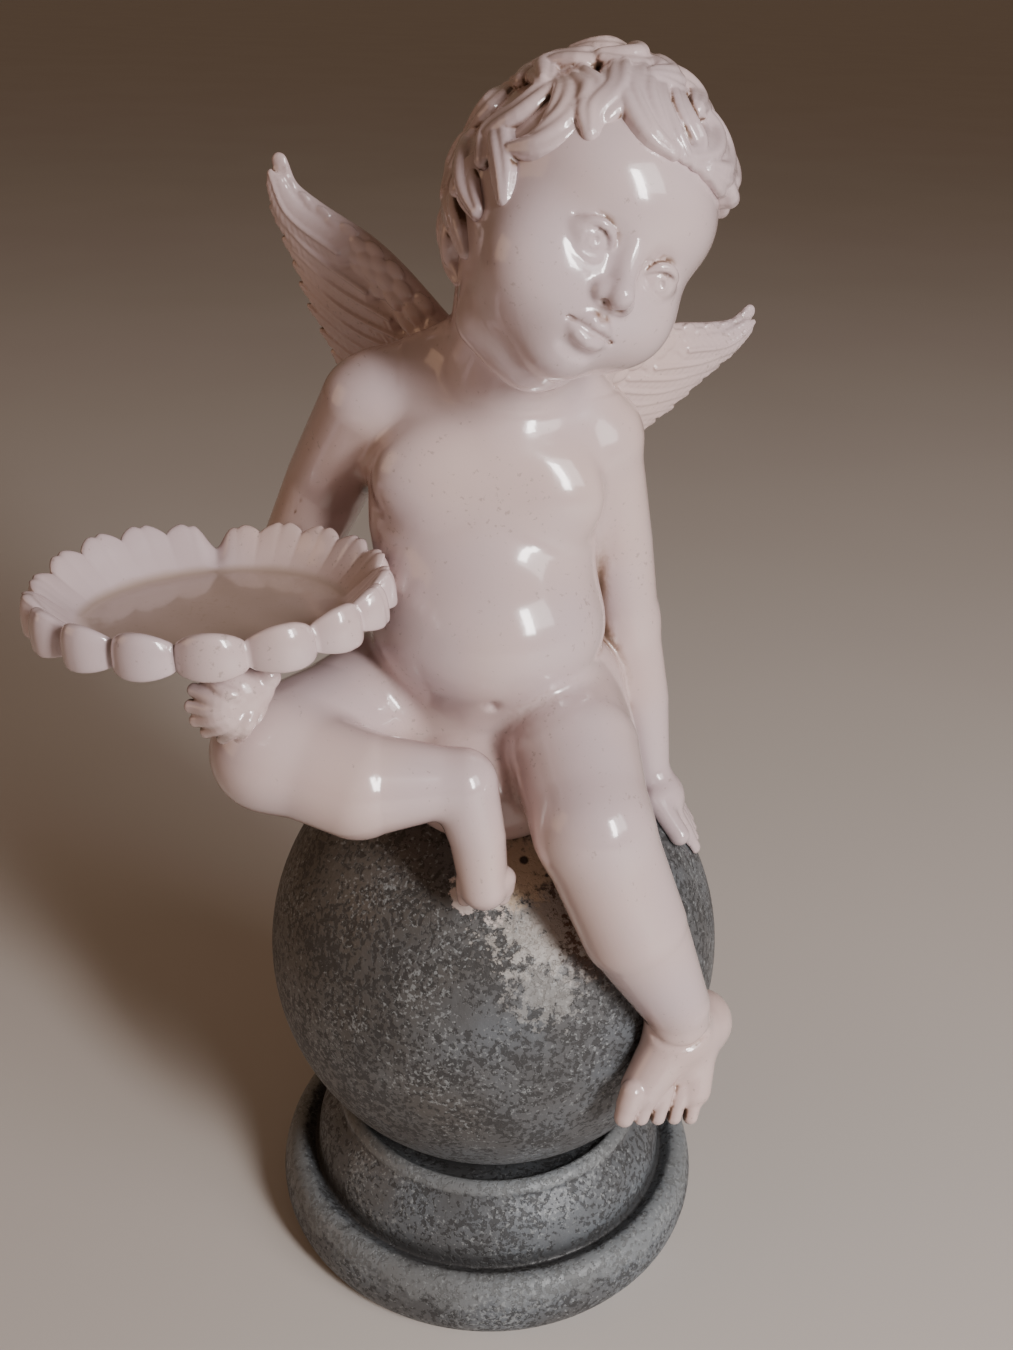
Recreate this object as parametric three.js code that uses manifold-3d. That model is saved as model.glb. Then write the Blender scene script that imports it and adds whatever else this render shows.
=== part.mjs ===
// Angel statuette: a glazed cherub sitting on a stone-effect ball on a turned foot,
// with an oval shell dish held over its knee. Millimetres, +Z up, the front faces -Y,
// and the origin is on the floor under the middle of the foot.

import * as THREE from 'three';
import { mergeVertices } from 'three/addons/utils/BufferGeometryUtils.js';
import Module from 'manifold-3d';

// Driving dimensions
const BALL_RADIUS = 70;
const FOOT_RADIUS = 70;
const FOOT_RING_HEIGHT = 21;
const TIER_RADIUS = 58;
const TIER_HEIGHT = 22;
const TIER_RIM_RADIUS = 50;
const BALL_SINK = 11;
const SEAT_DEPTH = 5;
const FIGURE_HEIGHT = 193;
const DISH_LENGTH = 94;
const DISH_WIDTH = 71;
const DISH_WALL = 3.6;
const DISH_RIM_HEIGHT = 8.5;
const DISH_LOBES = 19;
const LOBE_CROWDING = 0.12;
const UMBO_WIDTH = 21;
const UMBO_DEPTH = 16;
const UMBO_HEIGHT = 21;
const UMBO_RIBS = 7;
const UMBO_RELIEF = 0.09;
const FIT_GAP = 0.3;

// Fineness of the faceted surfaces
const LATHE_SIDES = 36;
const BALL_STEPS = 11;
const LOBE_STEPS = 4;
const SAMPLE_STEP = 2.6;
const BLOCK = 4;
const FIGURE_TRIANGLES = 5400;

// Figure points are drawn in units: the figure is 193 units high over a ball of 70 units
const SHARE = FIGURE_HEIGHT / 193;
const RIM_LEVEL = FOOT_RING_HEIGHT + TIER_HEIGHT;
const BALL_CENTRE = new THREE.Vector3(0, 0, RIM_LEVEL - BALL_SINK + BALL_RADIUS);

const wasm = await Module();
wasm.setup();

const glaze = new THREE.MeshStandardMaterial({ color: 0xe9dfde, roughness: 0.16, metalness: 0 });
const dishGlaze = new THREE.MeshStandardMaterial({ color: 0xe6dad7, roughness: 0.18, metalness: 0 });
const stone = new THREE.MeshStandardMaterial({ color: 0x5f6468, roughness: 0.6, metalness: 0 });

// A point of the figure, given from the ball's middle, kept at its height over the ball
function at(x, y, z) {
  const point = new THREE.Vector3(x, y, z).multiplyScalar(SHARE);
  const lift = BALL_RADIUS - 70 * SHARE;
  return point.setLength(point.length() + lift).add(BALL_CENTRE);
}

const trail = (...rows) => rows.map((row) => at(...row));

// Fields: each shape gives the distance from its surface, negative inside
const WORLD_AXES = [new THREE.Vector3(1, 0, 0), new THREE.Vector3(0, 1, 0), new THREE.Vector3(0, 0, 1)];

function oval(middle, radii, soft, axes = WORLD_AXES) {
  const [rx, ry, rz] = radii.map((r) => r * SHARE);
  const [ax, ay, az] = axes;
  const distance = (x, y, z) => {
    const dx = x - middle.x;
    const dy = y - middle.y;
    const dz = z - middle.z;
    const u = (dx * ax.x + dy * ax.y + dz * ax.z) / rx;
    const v = (dx * ay.x + dy * ay.y + dz * ay.z) / ry;
    const w = (dx * az.x + dy * az.y + dz * az.z) / rz;
    const near = Math.sqrt(u * u + v * v + w * w);
    const slope = Math.sqrt((u / rx) ** 2 + (v / ry) ** 2 + (w / rz) ** 2);
    return slope < 1e-9 ? -Math.min(rx, ry, rz) : (near * (near - 1)) / slope;
  };
  return { distance, soft: soft * SHARE, middle, reach: Math.max(rx, ry, rz) };
}

// Tapering round rods from point to point; with a normal they are flattened along it
function rods(points, radii, soft, normal = null, flatness = 1) {
  const middle = new THREE.Vector3();
  points.forEach((point) => middle.addScaledVector(point, 1 / points.length));
  const sizes = radii.map((r) => r * SHARE);
  const reach = Math.max(...points.map((point, i) => point.distanceTo(middle) + sizes[i]));
  const distance = (x, y, z) => {
    let least = Infinity;
    for (let i = 0; i + 1 < points.length; i += 1) {
      const a = points[i];
      const b = points[i + 1];
      const ex = b.x - a.x;
      const ey = b.y - a.y;
      const ez = b.z - a.z;
      const run = ex * ex + ey * ey + ez * ez;
      const t = Math.min(1, Math.max(0, ((x - a.x) * ex + (y - a.y) * ey + (z - a.z) * ez) / run));
      const dx = x - a.x - t * ex;
      const dy = y - a.y - t * ey;
      const dz = z - a.z - t * ez;
      const radius = sizes[i] + t * (sizes[i + 1] - sizes[i]);
      const square = dx * dx + dy * dy + dz * dz;
      let d = Math.sqrt(square) - radius;
      if (normal) {
        const n = dx * normal.x + dy * normal.y + dz * normal.z;
        const near = Math.sqrt(square - n * n + (n / flatness) ** 2) / radius;
        const slope = Math.sqrt(square - n * n + (n / flatness ** 2) ** 2) / radius ** 2;
        d = slope < 1e-9 ? -radius * flatness : (near * (near - 1)) / slope;
      }
      least = Math.min(least, d);
    }
    return least;
  };
  return { distance, soft: soft * SHARE, middle, reach };
}

const carved = (shape) => ({ ...shape, hollow: true });

function softLeast(a, b, soft) {
  const melt = Math.max(soft - Math.abs(a - b), 0);
  return Math.min(a, b) - (soft > 0 ? (melt * melt) / (4 * soft) : 0);
}

// Shapes joined in order, each melting into what is there by its own softness
function joined(shapes) {
  return (x, y, z) => {
    let total = 1e3;
    for (const shape of shapes) {
      const away = Math.hypot(x - shape.middle.x, y - shape.middle.y, z - shape.middle.z) - shape.reach;
      const side = shape.hollow ? -total : total;
      if (away < side + shape.soft) {
        const least = softLeast(side, shape.distance(x, y, z), shape.soft);
        total = shape.hollow ? -least : least;
      }
    }
    return total;
  };
}

// The head has its own axes: side to the figure's left, up to its crown, front to its face
const HEAD_FRONT = new THREE.Vector3(0.41, -0.91, -0.03).normalize();
const HEAD_SIDE = new THREE.Vector3(0.48, 0.19, 0.855).cross(HEAD_FRONT).normalize();
const HEAD_UP = new THREE.Vector3().crossVectors(HEAD_FRONT, HEAD_SIDE);
const HEAD_AXES = [HEAD_SIDE, HEAD_UP, HEAD_FRONT];
const HEAD_MIDDLE = at(14, -16, 219.5);
const SKULL = [29, 30.5, 33];
const CROWN_RISE = 6.5;
const CROWN_SETBACK = 5;
const HEAD_REACH = 44;
const LOCK_LIFT = 1.4;
const LOCK_STEPS = 7;
const CLOSE_PLACE = [-110, 8];
const CLOSE_DEPTH = 4.4;

function onHead(side, up, front) {
  return HEAD_MIDDLE.clone()
    .addScaledVector(HEAD_SIDE, side * SHARE)
    .addScaledVector(HEAD_UP, up * SHARE)
    .addScaledVector(HEAD_FRONT, front * SHARE);
}

const headOval = (side, up, front, radii, soft) => oval(onHead(side, up, front), radii, soft, HEAD_AXES);

// A point over the skull: its turn is 0 at the face and 90 at the figure's left
function overSkull(turn, height, lift) {
  const t = THREE.MathUtils.degToRad(turn);
  const h = THREE.MathUtils.degToRad(height);
  const [side, up, front] = SKULL.map((r) => r + lift);
  return onHead(
    side * Math.sin(t) * Math.cos(h),
    CROWN_RISE + up * Math.sin(h),
    front * Math.cos(t) * Math.cos(h) - CROWN_SETBACK,
  );
}

// The hair lies closest behind the figure's right temple: how much lower it lies at a place
function closeness(turn, height) {
  const [t, h] = [turn - CLOSE_PLACE[0], height].map(THREE.MathUtils.degToRad);
  const closest = THREE.MathUtils.degToRad(CLOSE_PLACE[1]);
  const near = Math.sin(h) * Math.sin(closest) + Math.cos(h) * Math.cos(closest) * Math.cos(t);
  return CLOSE_DEPTH * Math.max(0, near) ** 2;
}

// A lock of hair follows turns and heights over the skull, thick in its middle, lifting at its end
function lock(path, thick, curl = 3) {
  const last = path.length - 1;
  const knots = path.map(([turn, height], i) => (
    overSkull(turn, height, LOCK_LIFT + curl * (i / last) ** 2 - closeness(turn, height))
  ));
  const points = new THREE.CatmullRomCurve3(knots).getPoints(LOCK_STEPS);
  const radii = points.map((_, i) => {
    const along = 0.15 + (0.75 * i) / LOCK_STEPS;
    return thick * (0.5 + 0.6 * Math.sin(Math.PI * along));
  });
  return rods(points, radii, 0.7);
}

// The locks round the brow and the figure's right side, each with its thickness
const BROW_LOCKS = [
  [5.4, [[-70, 74], [-50, 58], [-41, 40], [-44, 26], [-40, 18]]],
  [4.6, [[-82, 52], [-62, 42], [-50, 36], [-47, 26], [-56, 20]]],
  [5.2, [[-84, 40], [-62, 32], [-53, 18], [-56, 6], [-66, 0]]],
  [5.2, [[-92, 44], [-76, 28], [-76, 14], [-86, 2], [-80, -9]]],
  [4.8, [[-94, 12], [-78, 4], [-68, -6], [-58, -18]]],
  [5.2, [[-118, 14], [-114, -4], [-96, -14], [-84, -22], [-70, -27]]],
  [4.8, [[-122, -14], [-110, -30], [-90, -36], [-76, -45]]],
  [4.6, [[-128, -28], [-110, -42], [-114, -54], [-102, -62]]],
  [5.2, [[-50, 78], [-40, 60], [-33, 42], [-20, 31], [-6, 29]]],
  [4.8, [[-20, 80], [-24, 62], [-20, 46], [-8, 36], [2, 31]]],
  [4.6, [[4, 78], [-8, 62], [-2, 48], [9, 40], [6, 32]]],
  [5.6, [[24, 74], [30, 60], [33, 50], [20, 40], [4, 32]]],
  [6.6, [[46, 72], [48, 58], [46, 46], [32, 36], [16, 32]]],
  [7, [[64, 64], [62, 52], [60, 42], [48, 34], [36, 36]]],
  [7, [[86, 58], [80, 48], [77, 38], [70, 31], [60, 33]]],
];

// Rows of locks from the crown down to the nape, behind the ears
const NAPE_ROWS = [
  { count: 9, top: 86, foot: 56, open: 0, thick: 6 },
  { count: 9, top: 64, foot: 30, open: 74, thick: 5.4 },
  { count: 8, top: 38, foot: 2, open: 106, thick: 5.4 },
  { count: 8, top: 10, foot: -26, open: 112, thick: 5.2 },
  { count: 6, top: -16, foot: -54, open: 120, thick: 4.6 },
];
const NAPE_WAVE = [1.4, -0.6, 0.7, -0.9];

function hairShapes() {
  const shapes = [headOval(2, 8, -7.5, [30, 30, 32.5], 1.5)];
  NAPE_ROWS.forEach(({ count, top, foot, open, thick }, row) => {
    for (let i = 0; i < count; i += 1) {
      const turn = open + ((360 - 2 * open) * (i + 0.5)) / count;
      const swing = (i + row) % 2 === 0 ? 10 : -10;
      const path = NAPE_WAVE.map((share, k) => [
        turn + swing * share,
        top + ((foot - top) * k) / (NAPE_WAVE.length - 1),
      ]);
      shapes.push(lock(path, thick));
    }
  });
  BROW_LOCKS.forEach(([thick, path]) => shapes.push(lock(path, thick, 2.5)));
  return shapes;
}

// A calm child's face of plain proportions
function faceShapes() {
  const shapes = [
    headOval(0, 6.5, -4, SKULL, 6),
    headOval(0, -10, 7, [25, 19, 23], 6),
    headOval(0, 12, 10, [25, 17, 20], 6),
    headOval(0, -25, 20, [9, 7, 8], 6),
    rods([onHead(-13, -27, 4), onHead(0, -30, 12), onHead(13, -27, 4)], [8, 8, 8], 5),
  ];
  for (const hand of [-1, 1]) {
    shapes.push(
      headOval(hand * 14, -13, 19, [11, 11, 9], 6),
      rods([onHead(hand * 15, 7, 27), onHead(hand * 5, 5, 31)], [3, 3], 4),
      carved(headOval(hand * 10, 0, 34, [6.5, 4, 5], 3)),
      headOval(hand * 10, -0.5, 25.5, [6, 5, 5], 1),
    );
  }
  shapes.push(
    rods([onHead(0, 1, 30), onHead(0, -8, 35)], [2.4, 3.6], 2.5),
    rods([onHead(-4, -9, 32), onHead(4, -9, 32)], [2.6, 2.6], 1.5),
    rods([onHead(-5.5, -16.5, 29.5), onHead(0, -15.5, 32), onHead(5.5, -16.5, 29.5)], [1.6, 2, 1.6], 1.5),
    rods([onHead(-4, -20, 28.5), onHead(0, -20.5, 31), onHead(4, -20, 28.5)], [2, 2.4, 2], 1.5),
    carved(rods([onHead(-6, -17.8, 30), onHead(0, -17.9, 33.5), onHead(6, -17.8, 30)], [0.8, 0.9, 0.8], 0.6)),
  );
  return shapes;
}

function torsoShapes() {
  return [
    oval(at(-6, -2, 90), [37, 29, 22], 8),
    oval(at(-4, -13, 116), [32, 29, 27], 10),
    oval(at(-6, -5, 142), [31, 22, 28], 10),
    oval(at(-5, -4, 160), [32, 20, 19], 9),
    oval(at(-20, -17, 157), [14, 8, 12], 6),
    oval(at(11, -16, 152), [14, 8, 12], 6),
    oval(at(-3, -29, 72), [23, 14, 15.5], 6),
    oval(at(-26, 10, 84), [22, 22, 18], 7),
    oval(at(15, 10, 82), [22, 22, 18], 7),
    rods(trail([-31, 3, 175], [0, 0, 186], [24, 3, 166]), [11, 14, 11], 7),
    rods([at(-1, -1, 178), onHead(0, -18, -6)], [16, 17], 7),
    carved(oval(at(-2, -43.5, 101), [1.6, 3, 1.9], 2)),
  ];
}

// The shell dish: an oval floor, a fluted wall and a rim of lobes rolled outward.
// Each row is a share of the outer oval, a share of the rim height, the drop below the
// floor in walls, and how much the lobes swell it outward and upward, in the same shares.
const DISH_ROWS = [
  [0.7, 0, 0, 0, 0],
  [0.8, 0.36, 0, 0.01, 0.08],
  [0.9, 0.84, 0, 0.025, 0.2],
  [0.96, 1, 0, 0.05, 0.26],
  [1.0, 0.76, 0, 0.06, 0.2],
  [1.01, 0.2, 0, 0.06, 0.05],
  [0.97, 0.12, 0, 0.045, 0.05],
  [0.9, 0.3, 0, 0.02, 0.08],
  [0.81, 0, 0.35, 0, 0],
  [0.66, 0, 1, 0, 0],
];
const DISH_TILT = [0.01, -0.075, 0];
const KNEE = at(-59, -46, 91.5);
const DISH_MIDDLE = KNEE.clone().add(new THREE.Vector3(-15.5, 12, 34.8).multiplyScalar(SHARE));
const UMBO_PLACE = new THREE.Vector3(8.5, -28.8, -10).multiplyScalar(SHARE);
const NOTCH_LOBE = 5.5;
const NOTCH_HALF_WIDTH = 0.07;
const FRONT_FULLNESS = 0.9;
const BACK_RISE = 0.32;
const BACK_LEAN = 0.24;
const FRONT_HANG = 0.5;
const BULGE_TURN = 5.25;
const BULGE_SHARE = 0.075;

// A point under the dish's floor: along it, back from its middle, and down from its underside
function underDish(along, back, down) {
  const point = new THREE.Vector3(along, back, -down).multiplyScalar(SHARE);
  point.z -= DISH_WALL;
  point.applyEuler(new THREE.Euler(...DISH_TILT));
  return point.add(DISH_MIDDLE);
}

// Fingers or toes fanned side by side from the first root to the last
function digits([firstRoot, lastRoot, firstTip, lastTip], radii, soft) {
  return radii.map((radius, i) => {
    const t = i / (radii.length - 1);
    const root = firstRoot.clone().lerp(lastRoot, t);
    const tip = firstTip.clone().lerp(lastTip, t);
    const knuckle = root.clone().lerp(tip, 0.55);
    return rods([root, knuckle, tip], [radius, radius, radius * 0.82], soft);
  });
}

function armShapes() {
  return [
    rods(trail([-37, 2, 171], [-50, 15, 145], [-63, 22, 116]), [13, 12, 10.5], 5),
    rods([at(-63, 22, 116), underDish(3, 40, 14), underDish(1, 26, 12)], [10, 8.5, 6.5], 3),
    oval(underDish(-1, 16, 8), [10, 12, 5.5], 3),
    ...digits(
      [underDish(-8, 10, 6), underDish(5, 6, 6), underDish(-14, -4, 3), underDish(5, -12, 3)],
      [2.9, 3.1, 3.1, 3],
      1,
    ),
    rods([underDish(8, 22, 8), underDish(16, 10, 3)], [3.4, 3], 1.5),
    rods(trail([24, 2, 161], [31, 8, 132], [36, 12, 106]), [12, 10.5, 9.5], 5),
    rods(trail([36, 12, 106], [41, 8, 82], [45, 3, 61]), [9.5, 9, 6.5], 3),
    oval(at(49, 0, 52.5), [7.5, 9, 8.5], 3),
    ...digits(trail([53, -5, 50], [52, 8, 50], [60, -3, 37], [60, 14, 36]), [2.8, 3, 3, 2.7], 1),
    rods(trail([47, -6, 55], [54, -12, 47]), [3.6, 3.2], 1.5),
  ];
}

function legShapes() {
  return [
    rods([...trail([-26, -4, 90], [-44, -24, 88]), KNEE], [20, 18, 16], 5),
    rods([KNEE, ...trail([-36, -52, 86], [-10, -51, 87])], [14.5, 14.5, 8.5], 3),
    rods(trail([-9, -51, 86], [-5, -54, 72], [-3, -56, 58]), [9, 7.5, 6.5], 3),
    ...digits(
      trail([-8, -56, 60], [2, -55, 60], [-8, -55, 53], [1.5, -54, 54]),
      [2.5, 2.6, 2.6, 2.8, 3.5],
      0.8,
    ),
    rods(trail([15, -6, 89], [20, -34, 87], [25, -54, 76]), [21, 18, 15.5], 5),
    rods(trail([25, -54, 76], [37, -58, 48], [51, -56, 20], [53, -55, 9]), [15.5, 14.5, 9.5, 8.6], 3),
    oval(at(61, -45, 5), [8.5, 9.5, 9], 4),
    rods(trail([51, -57, 9], [42.5, -64.5, -3]), [8, 6], 4),
    rods(trail([57, -51, 7], [57, -59, -7]), [8, 6], 4),
    ...digits(
      trail([39.5, -68, -1], [58.5, -60, -6], [37.5, -70.5, -8], [57, -64, -13.5]),
      [3.4, 2.8, 2.7, 2.6, 2.6],
      0.7,
    ),
  ];
}

// A wing lies in the plane of its root, tip and hem. Its band and feathers are given by shares
// of its length along it, and across it towards the hem
const LEFT_WING = { root: [-14, 16, 182], tip: [-62, 29, 228], hem: [-50, 30, 180], spread: 1.15 };
const RIGHT_WING = { root: [16, 18, 176], tip: [69, 54, 187], hem: [38, 34, 158], spread: 1 };
const WING_BAND = [
  [0.02, 0.01, 0.09],
  [0.35, -0.005, 0.085],
  [0.54, 0, 0.075],
  [0.75, 0.035, 0.056],
  [0.9, 0.045, 0.042],
  [1, 0, 0.034],
];
const FEATHER_LINES = [
  [[0.6, 0.05], [0.83, 0.09], [0.99, 0.04]],
  [[0.42, 0.08], [0.68, 0.13], [0.91, 0.13]],
  [[0.28, 0.09], [0.54, 0.165], [0.8, 0.19]],
  [[0.2, 0.12], [0.44, 0.205], [0.71, 0.235]],
  [[0.14, 0.15], [0.36, 0.24], [0.64, 0.28]],
  [[0.1, 0.18], [0.3, 0.275], [0.56, 0.325]],
  [[0.06, 0.22], [0.24, 0.315], [0.46, 0.365]],
  [[0.04, 0.26], [0.2, 0.36], [0.37, 0.4]],
];
const FEATHER_WIDTH = 0.062;
const FEATHER_STEP = 0.8;
const FEATHER_FLATNESS = 0.42;

function wingShapes({ root, tip, hem, spread }) {
  const [rootPoint, tipPoint, hemPoint] = trail(root, tip, hem);
  const along = tipPoint.clone().sub(rootPoint);
  const length = along.length();
  along.normalize();
  const normal = new THREE.Vector3().crossVectors(along, hemPoint.clone().sub(rootPoint)).normalize();
  const across = new THREE.Vector3().crossVectors(normal, along);
  if (normal.y > 0) normal.negate();
  const onWing = ([u, v], over) => rootPoint.clone()
    .addScaledVector(along, u * length)
    .addScaledVector(across, v * length * spread)
    .addScaledVector(normal, over * SHARE);
  const width = length / SHARE;
  const last = FEATHER_LINES.length - 1;
  const feathers = FEATHER_LINES.map((line, i) => rods(
    line.map((place) => onWing(place, (last - i - 3) * FEATHER_STEP)),
    [FEATHER_WIDTH * width, FEATHER_WIDTH * width, 0.7 * FEATHER_WIDTH * width],
    0.4,
    normal,
    FEATHER_FLATNESS,
  ));
  const sheet = rods([onWing([0.1, 0.16], -1.5), onWing([0.5, 0.18], -1.5)], [12, 9], 1, normal, 0.2);
  const band = rods(
    WING_BAND.map((place) => onWing(place, 0.8)),
    WING_BAND.map(([, , half]) => half * width),
    1.5,
    normal,
    0.55,
  );
  return [sheet, ...feathers, band];
}

function wings() {
  return [
    ...wingShapes(LEFT_WING),
    rods(trail([-14, 10, 172], [-20, 20, 182]), [9, 7], 5),
    ...wingShapes(RIGHT_WING),
    rods(trail([10, 10, 166], [20, 20, 176]), [9, 7], 5),
  ];
}

// The middle of some of a cell's corners, which are numbered by their bits
function middleOf(corners) {
  const middle = new THREE.Vector3();
  corners.forEach((c) => middle.add(new THREE.Vector3(c & 1, (c >> 1) & 1, c >> 2)));
  return middle.divideScalar(corners.length);
}

// Triangles through the six tetrahedra of every cell that the surface crosses
function surfaceOf(field, low, high, step) {
  const block = step * BLOCK;
  const extent = high.clone().sub(low).toArray();
  const counts = extent.map((length) => Math.ceil(length / block) * BLOCK + 1);
  const [nx, ny] = counts;
  const values = new Float32Array(counts[0] * counts[1] * counts[2]).fill(NaN);
  const place = (node) => [
    low.x + (node % nx) * step,
    low.y + (Math.floor(node / nx) % ny) * step,
    low.z + Math.floor(node / (nx * ny)) * step,
  ];
  const valueAt = (node) => {
    if (Number.isNaN(values[node])) values[node] = field(...place(node)) || 1e-6;
    return values[node];
  };
  const corner = [0, 1, nx, nx + 1, nx * ny, nx * ny + 1, nx * ny + nx, nx * ny + nx + 1];
  const tetrahedra = [[0, 1, 3, 7], [0, 1, 5, 7], [0, 2, 3, 7], [0, 2, 6, 7], [0, 4, 5, 7], [0, 4, 6, 7]];
  const positions = [];
  const triangles = [];
  const crossings = new Map();
  const crossing = (base, a, b) => {
    const key = (base + corner[a]) * 8 + (b - a);
    let vertex = crossings.get(key);
    if (vertex === undefined) {
      const va = values[base + corner[a]];
      const t = Math.min(0.96, Math.max(0.04, va / (va - values[base + corner[b]])));
      const pa = place(base + corner[a]);
      const pb = place(base + corner[b]);
      vertex = positions.length / 3;
      positions.push(...pa.map((v, k) => v + t * (pb[k] - v)));
      crossings.set(key, vertex);
    }
    return vertex;
  };
  const facing = (triangle, outward) => {
    const [a, b, c] = triangle.map((v) => new THREE.Vector3().fromArray(positions, v * 3));
    const normal = b.sub(a).cross(c.sub(a));
    triangles.push(normal.dot(outward) > 0 ? triangle : [triangle[0], triangle[2], triangle[1]]);
  };
  const cell = (base) => {
    const inside = corner.map((offset) => valueAt(base + offset) < 0);
    if (inside.every((v) => v === inside[0])) return;
    for (const tetrahedron of tetrahedra) {
      const inner = tetrahedron.filter((c) => inside[c]);
      const outer = tetrahedron.filter((c) => !inside[c]);
      if (inner.length === 0 || outer.length === 0) continue;
      const outward = middleOf(outer).sub(middleOf(inner));
      const edge = (a, b) => crossing(base, Math.min(a, b), Math.max(a, b));
      if (inner.length === 2) {
        const [a, b] = inner;
        const [c, d] = outer;
        const ring = [edge(a, c), edge(a, d), edge(b, d), edge(b, c)];
        facing([ring[0], ring[1], ring[2]], outward);
        facing([ring[0], ring[2], ring[3]], outward);
      } else {
        const lone = inner.length === 1 ? inner[0] : outer[0];
        facing(tetrahedron.filter((c) => c !== lone).map((c) => edge(lone, c)), outward);
      }
    }
  };
  // Blocks of cells are skipped where the surface is well away
  const near = block * 1.3;
  const half = BLOCK / 2;
  for (let k = 0; k + BLOCK < counts[2]; k += BLOCK) {
    for (let j = 0; j + BLOCK < ny; j += BLOCK) {
      for (let i = 0; i + BLOCK < nx; i += BLOCK) {
        const middle = place(i + half + nx * (j + half + ny * (k + half)));
        if (Math.abs(field(...middle)) > near) continue;
        for (let c = 0; c < BLOCK ** 3; c += 1) {
          const column = c % BLOCK ** 2;
          const across = column % BLOCK;
          const back = (column - across) / BLOCK;
          cell(i + across + nx * (j + back + ny * (k + (c - column) / BLOCK ** 2)));
        }
      }
    }
  }
  return { positions, triangles };
}

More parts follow.
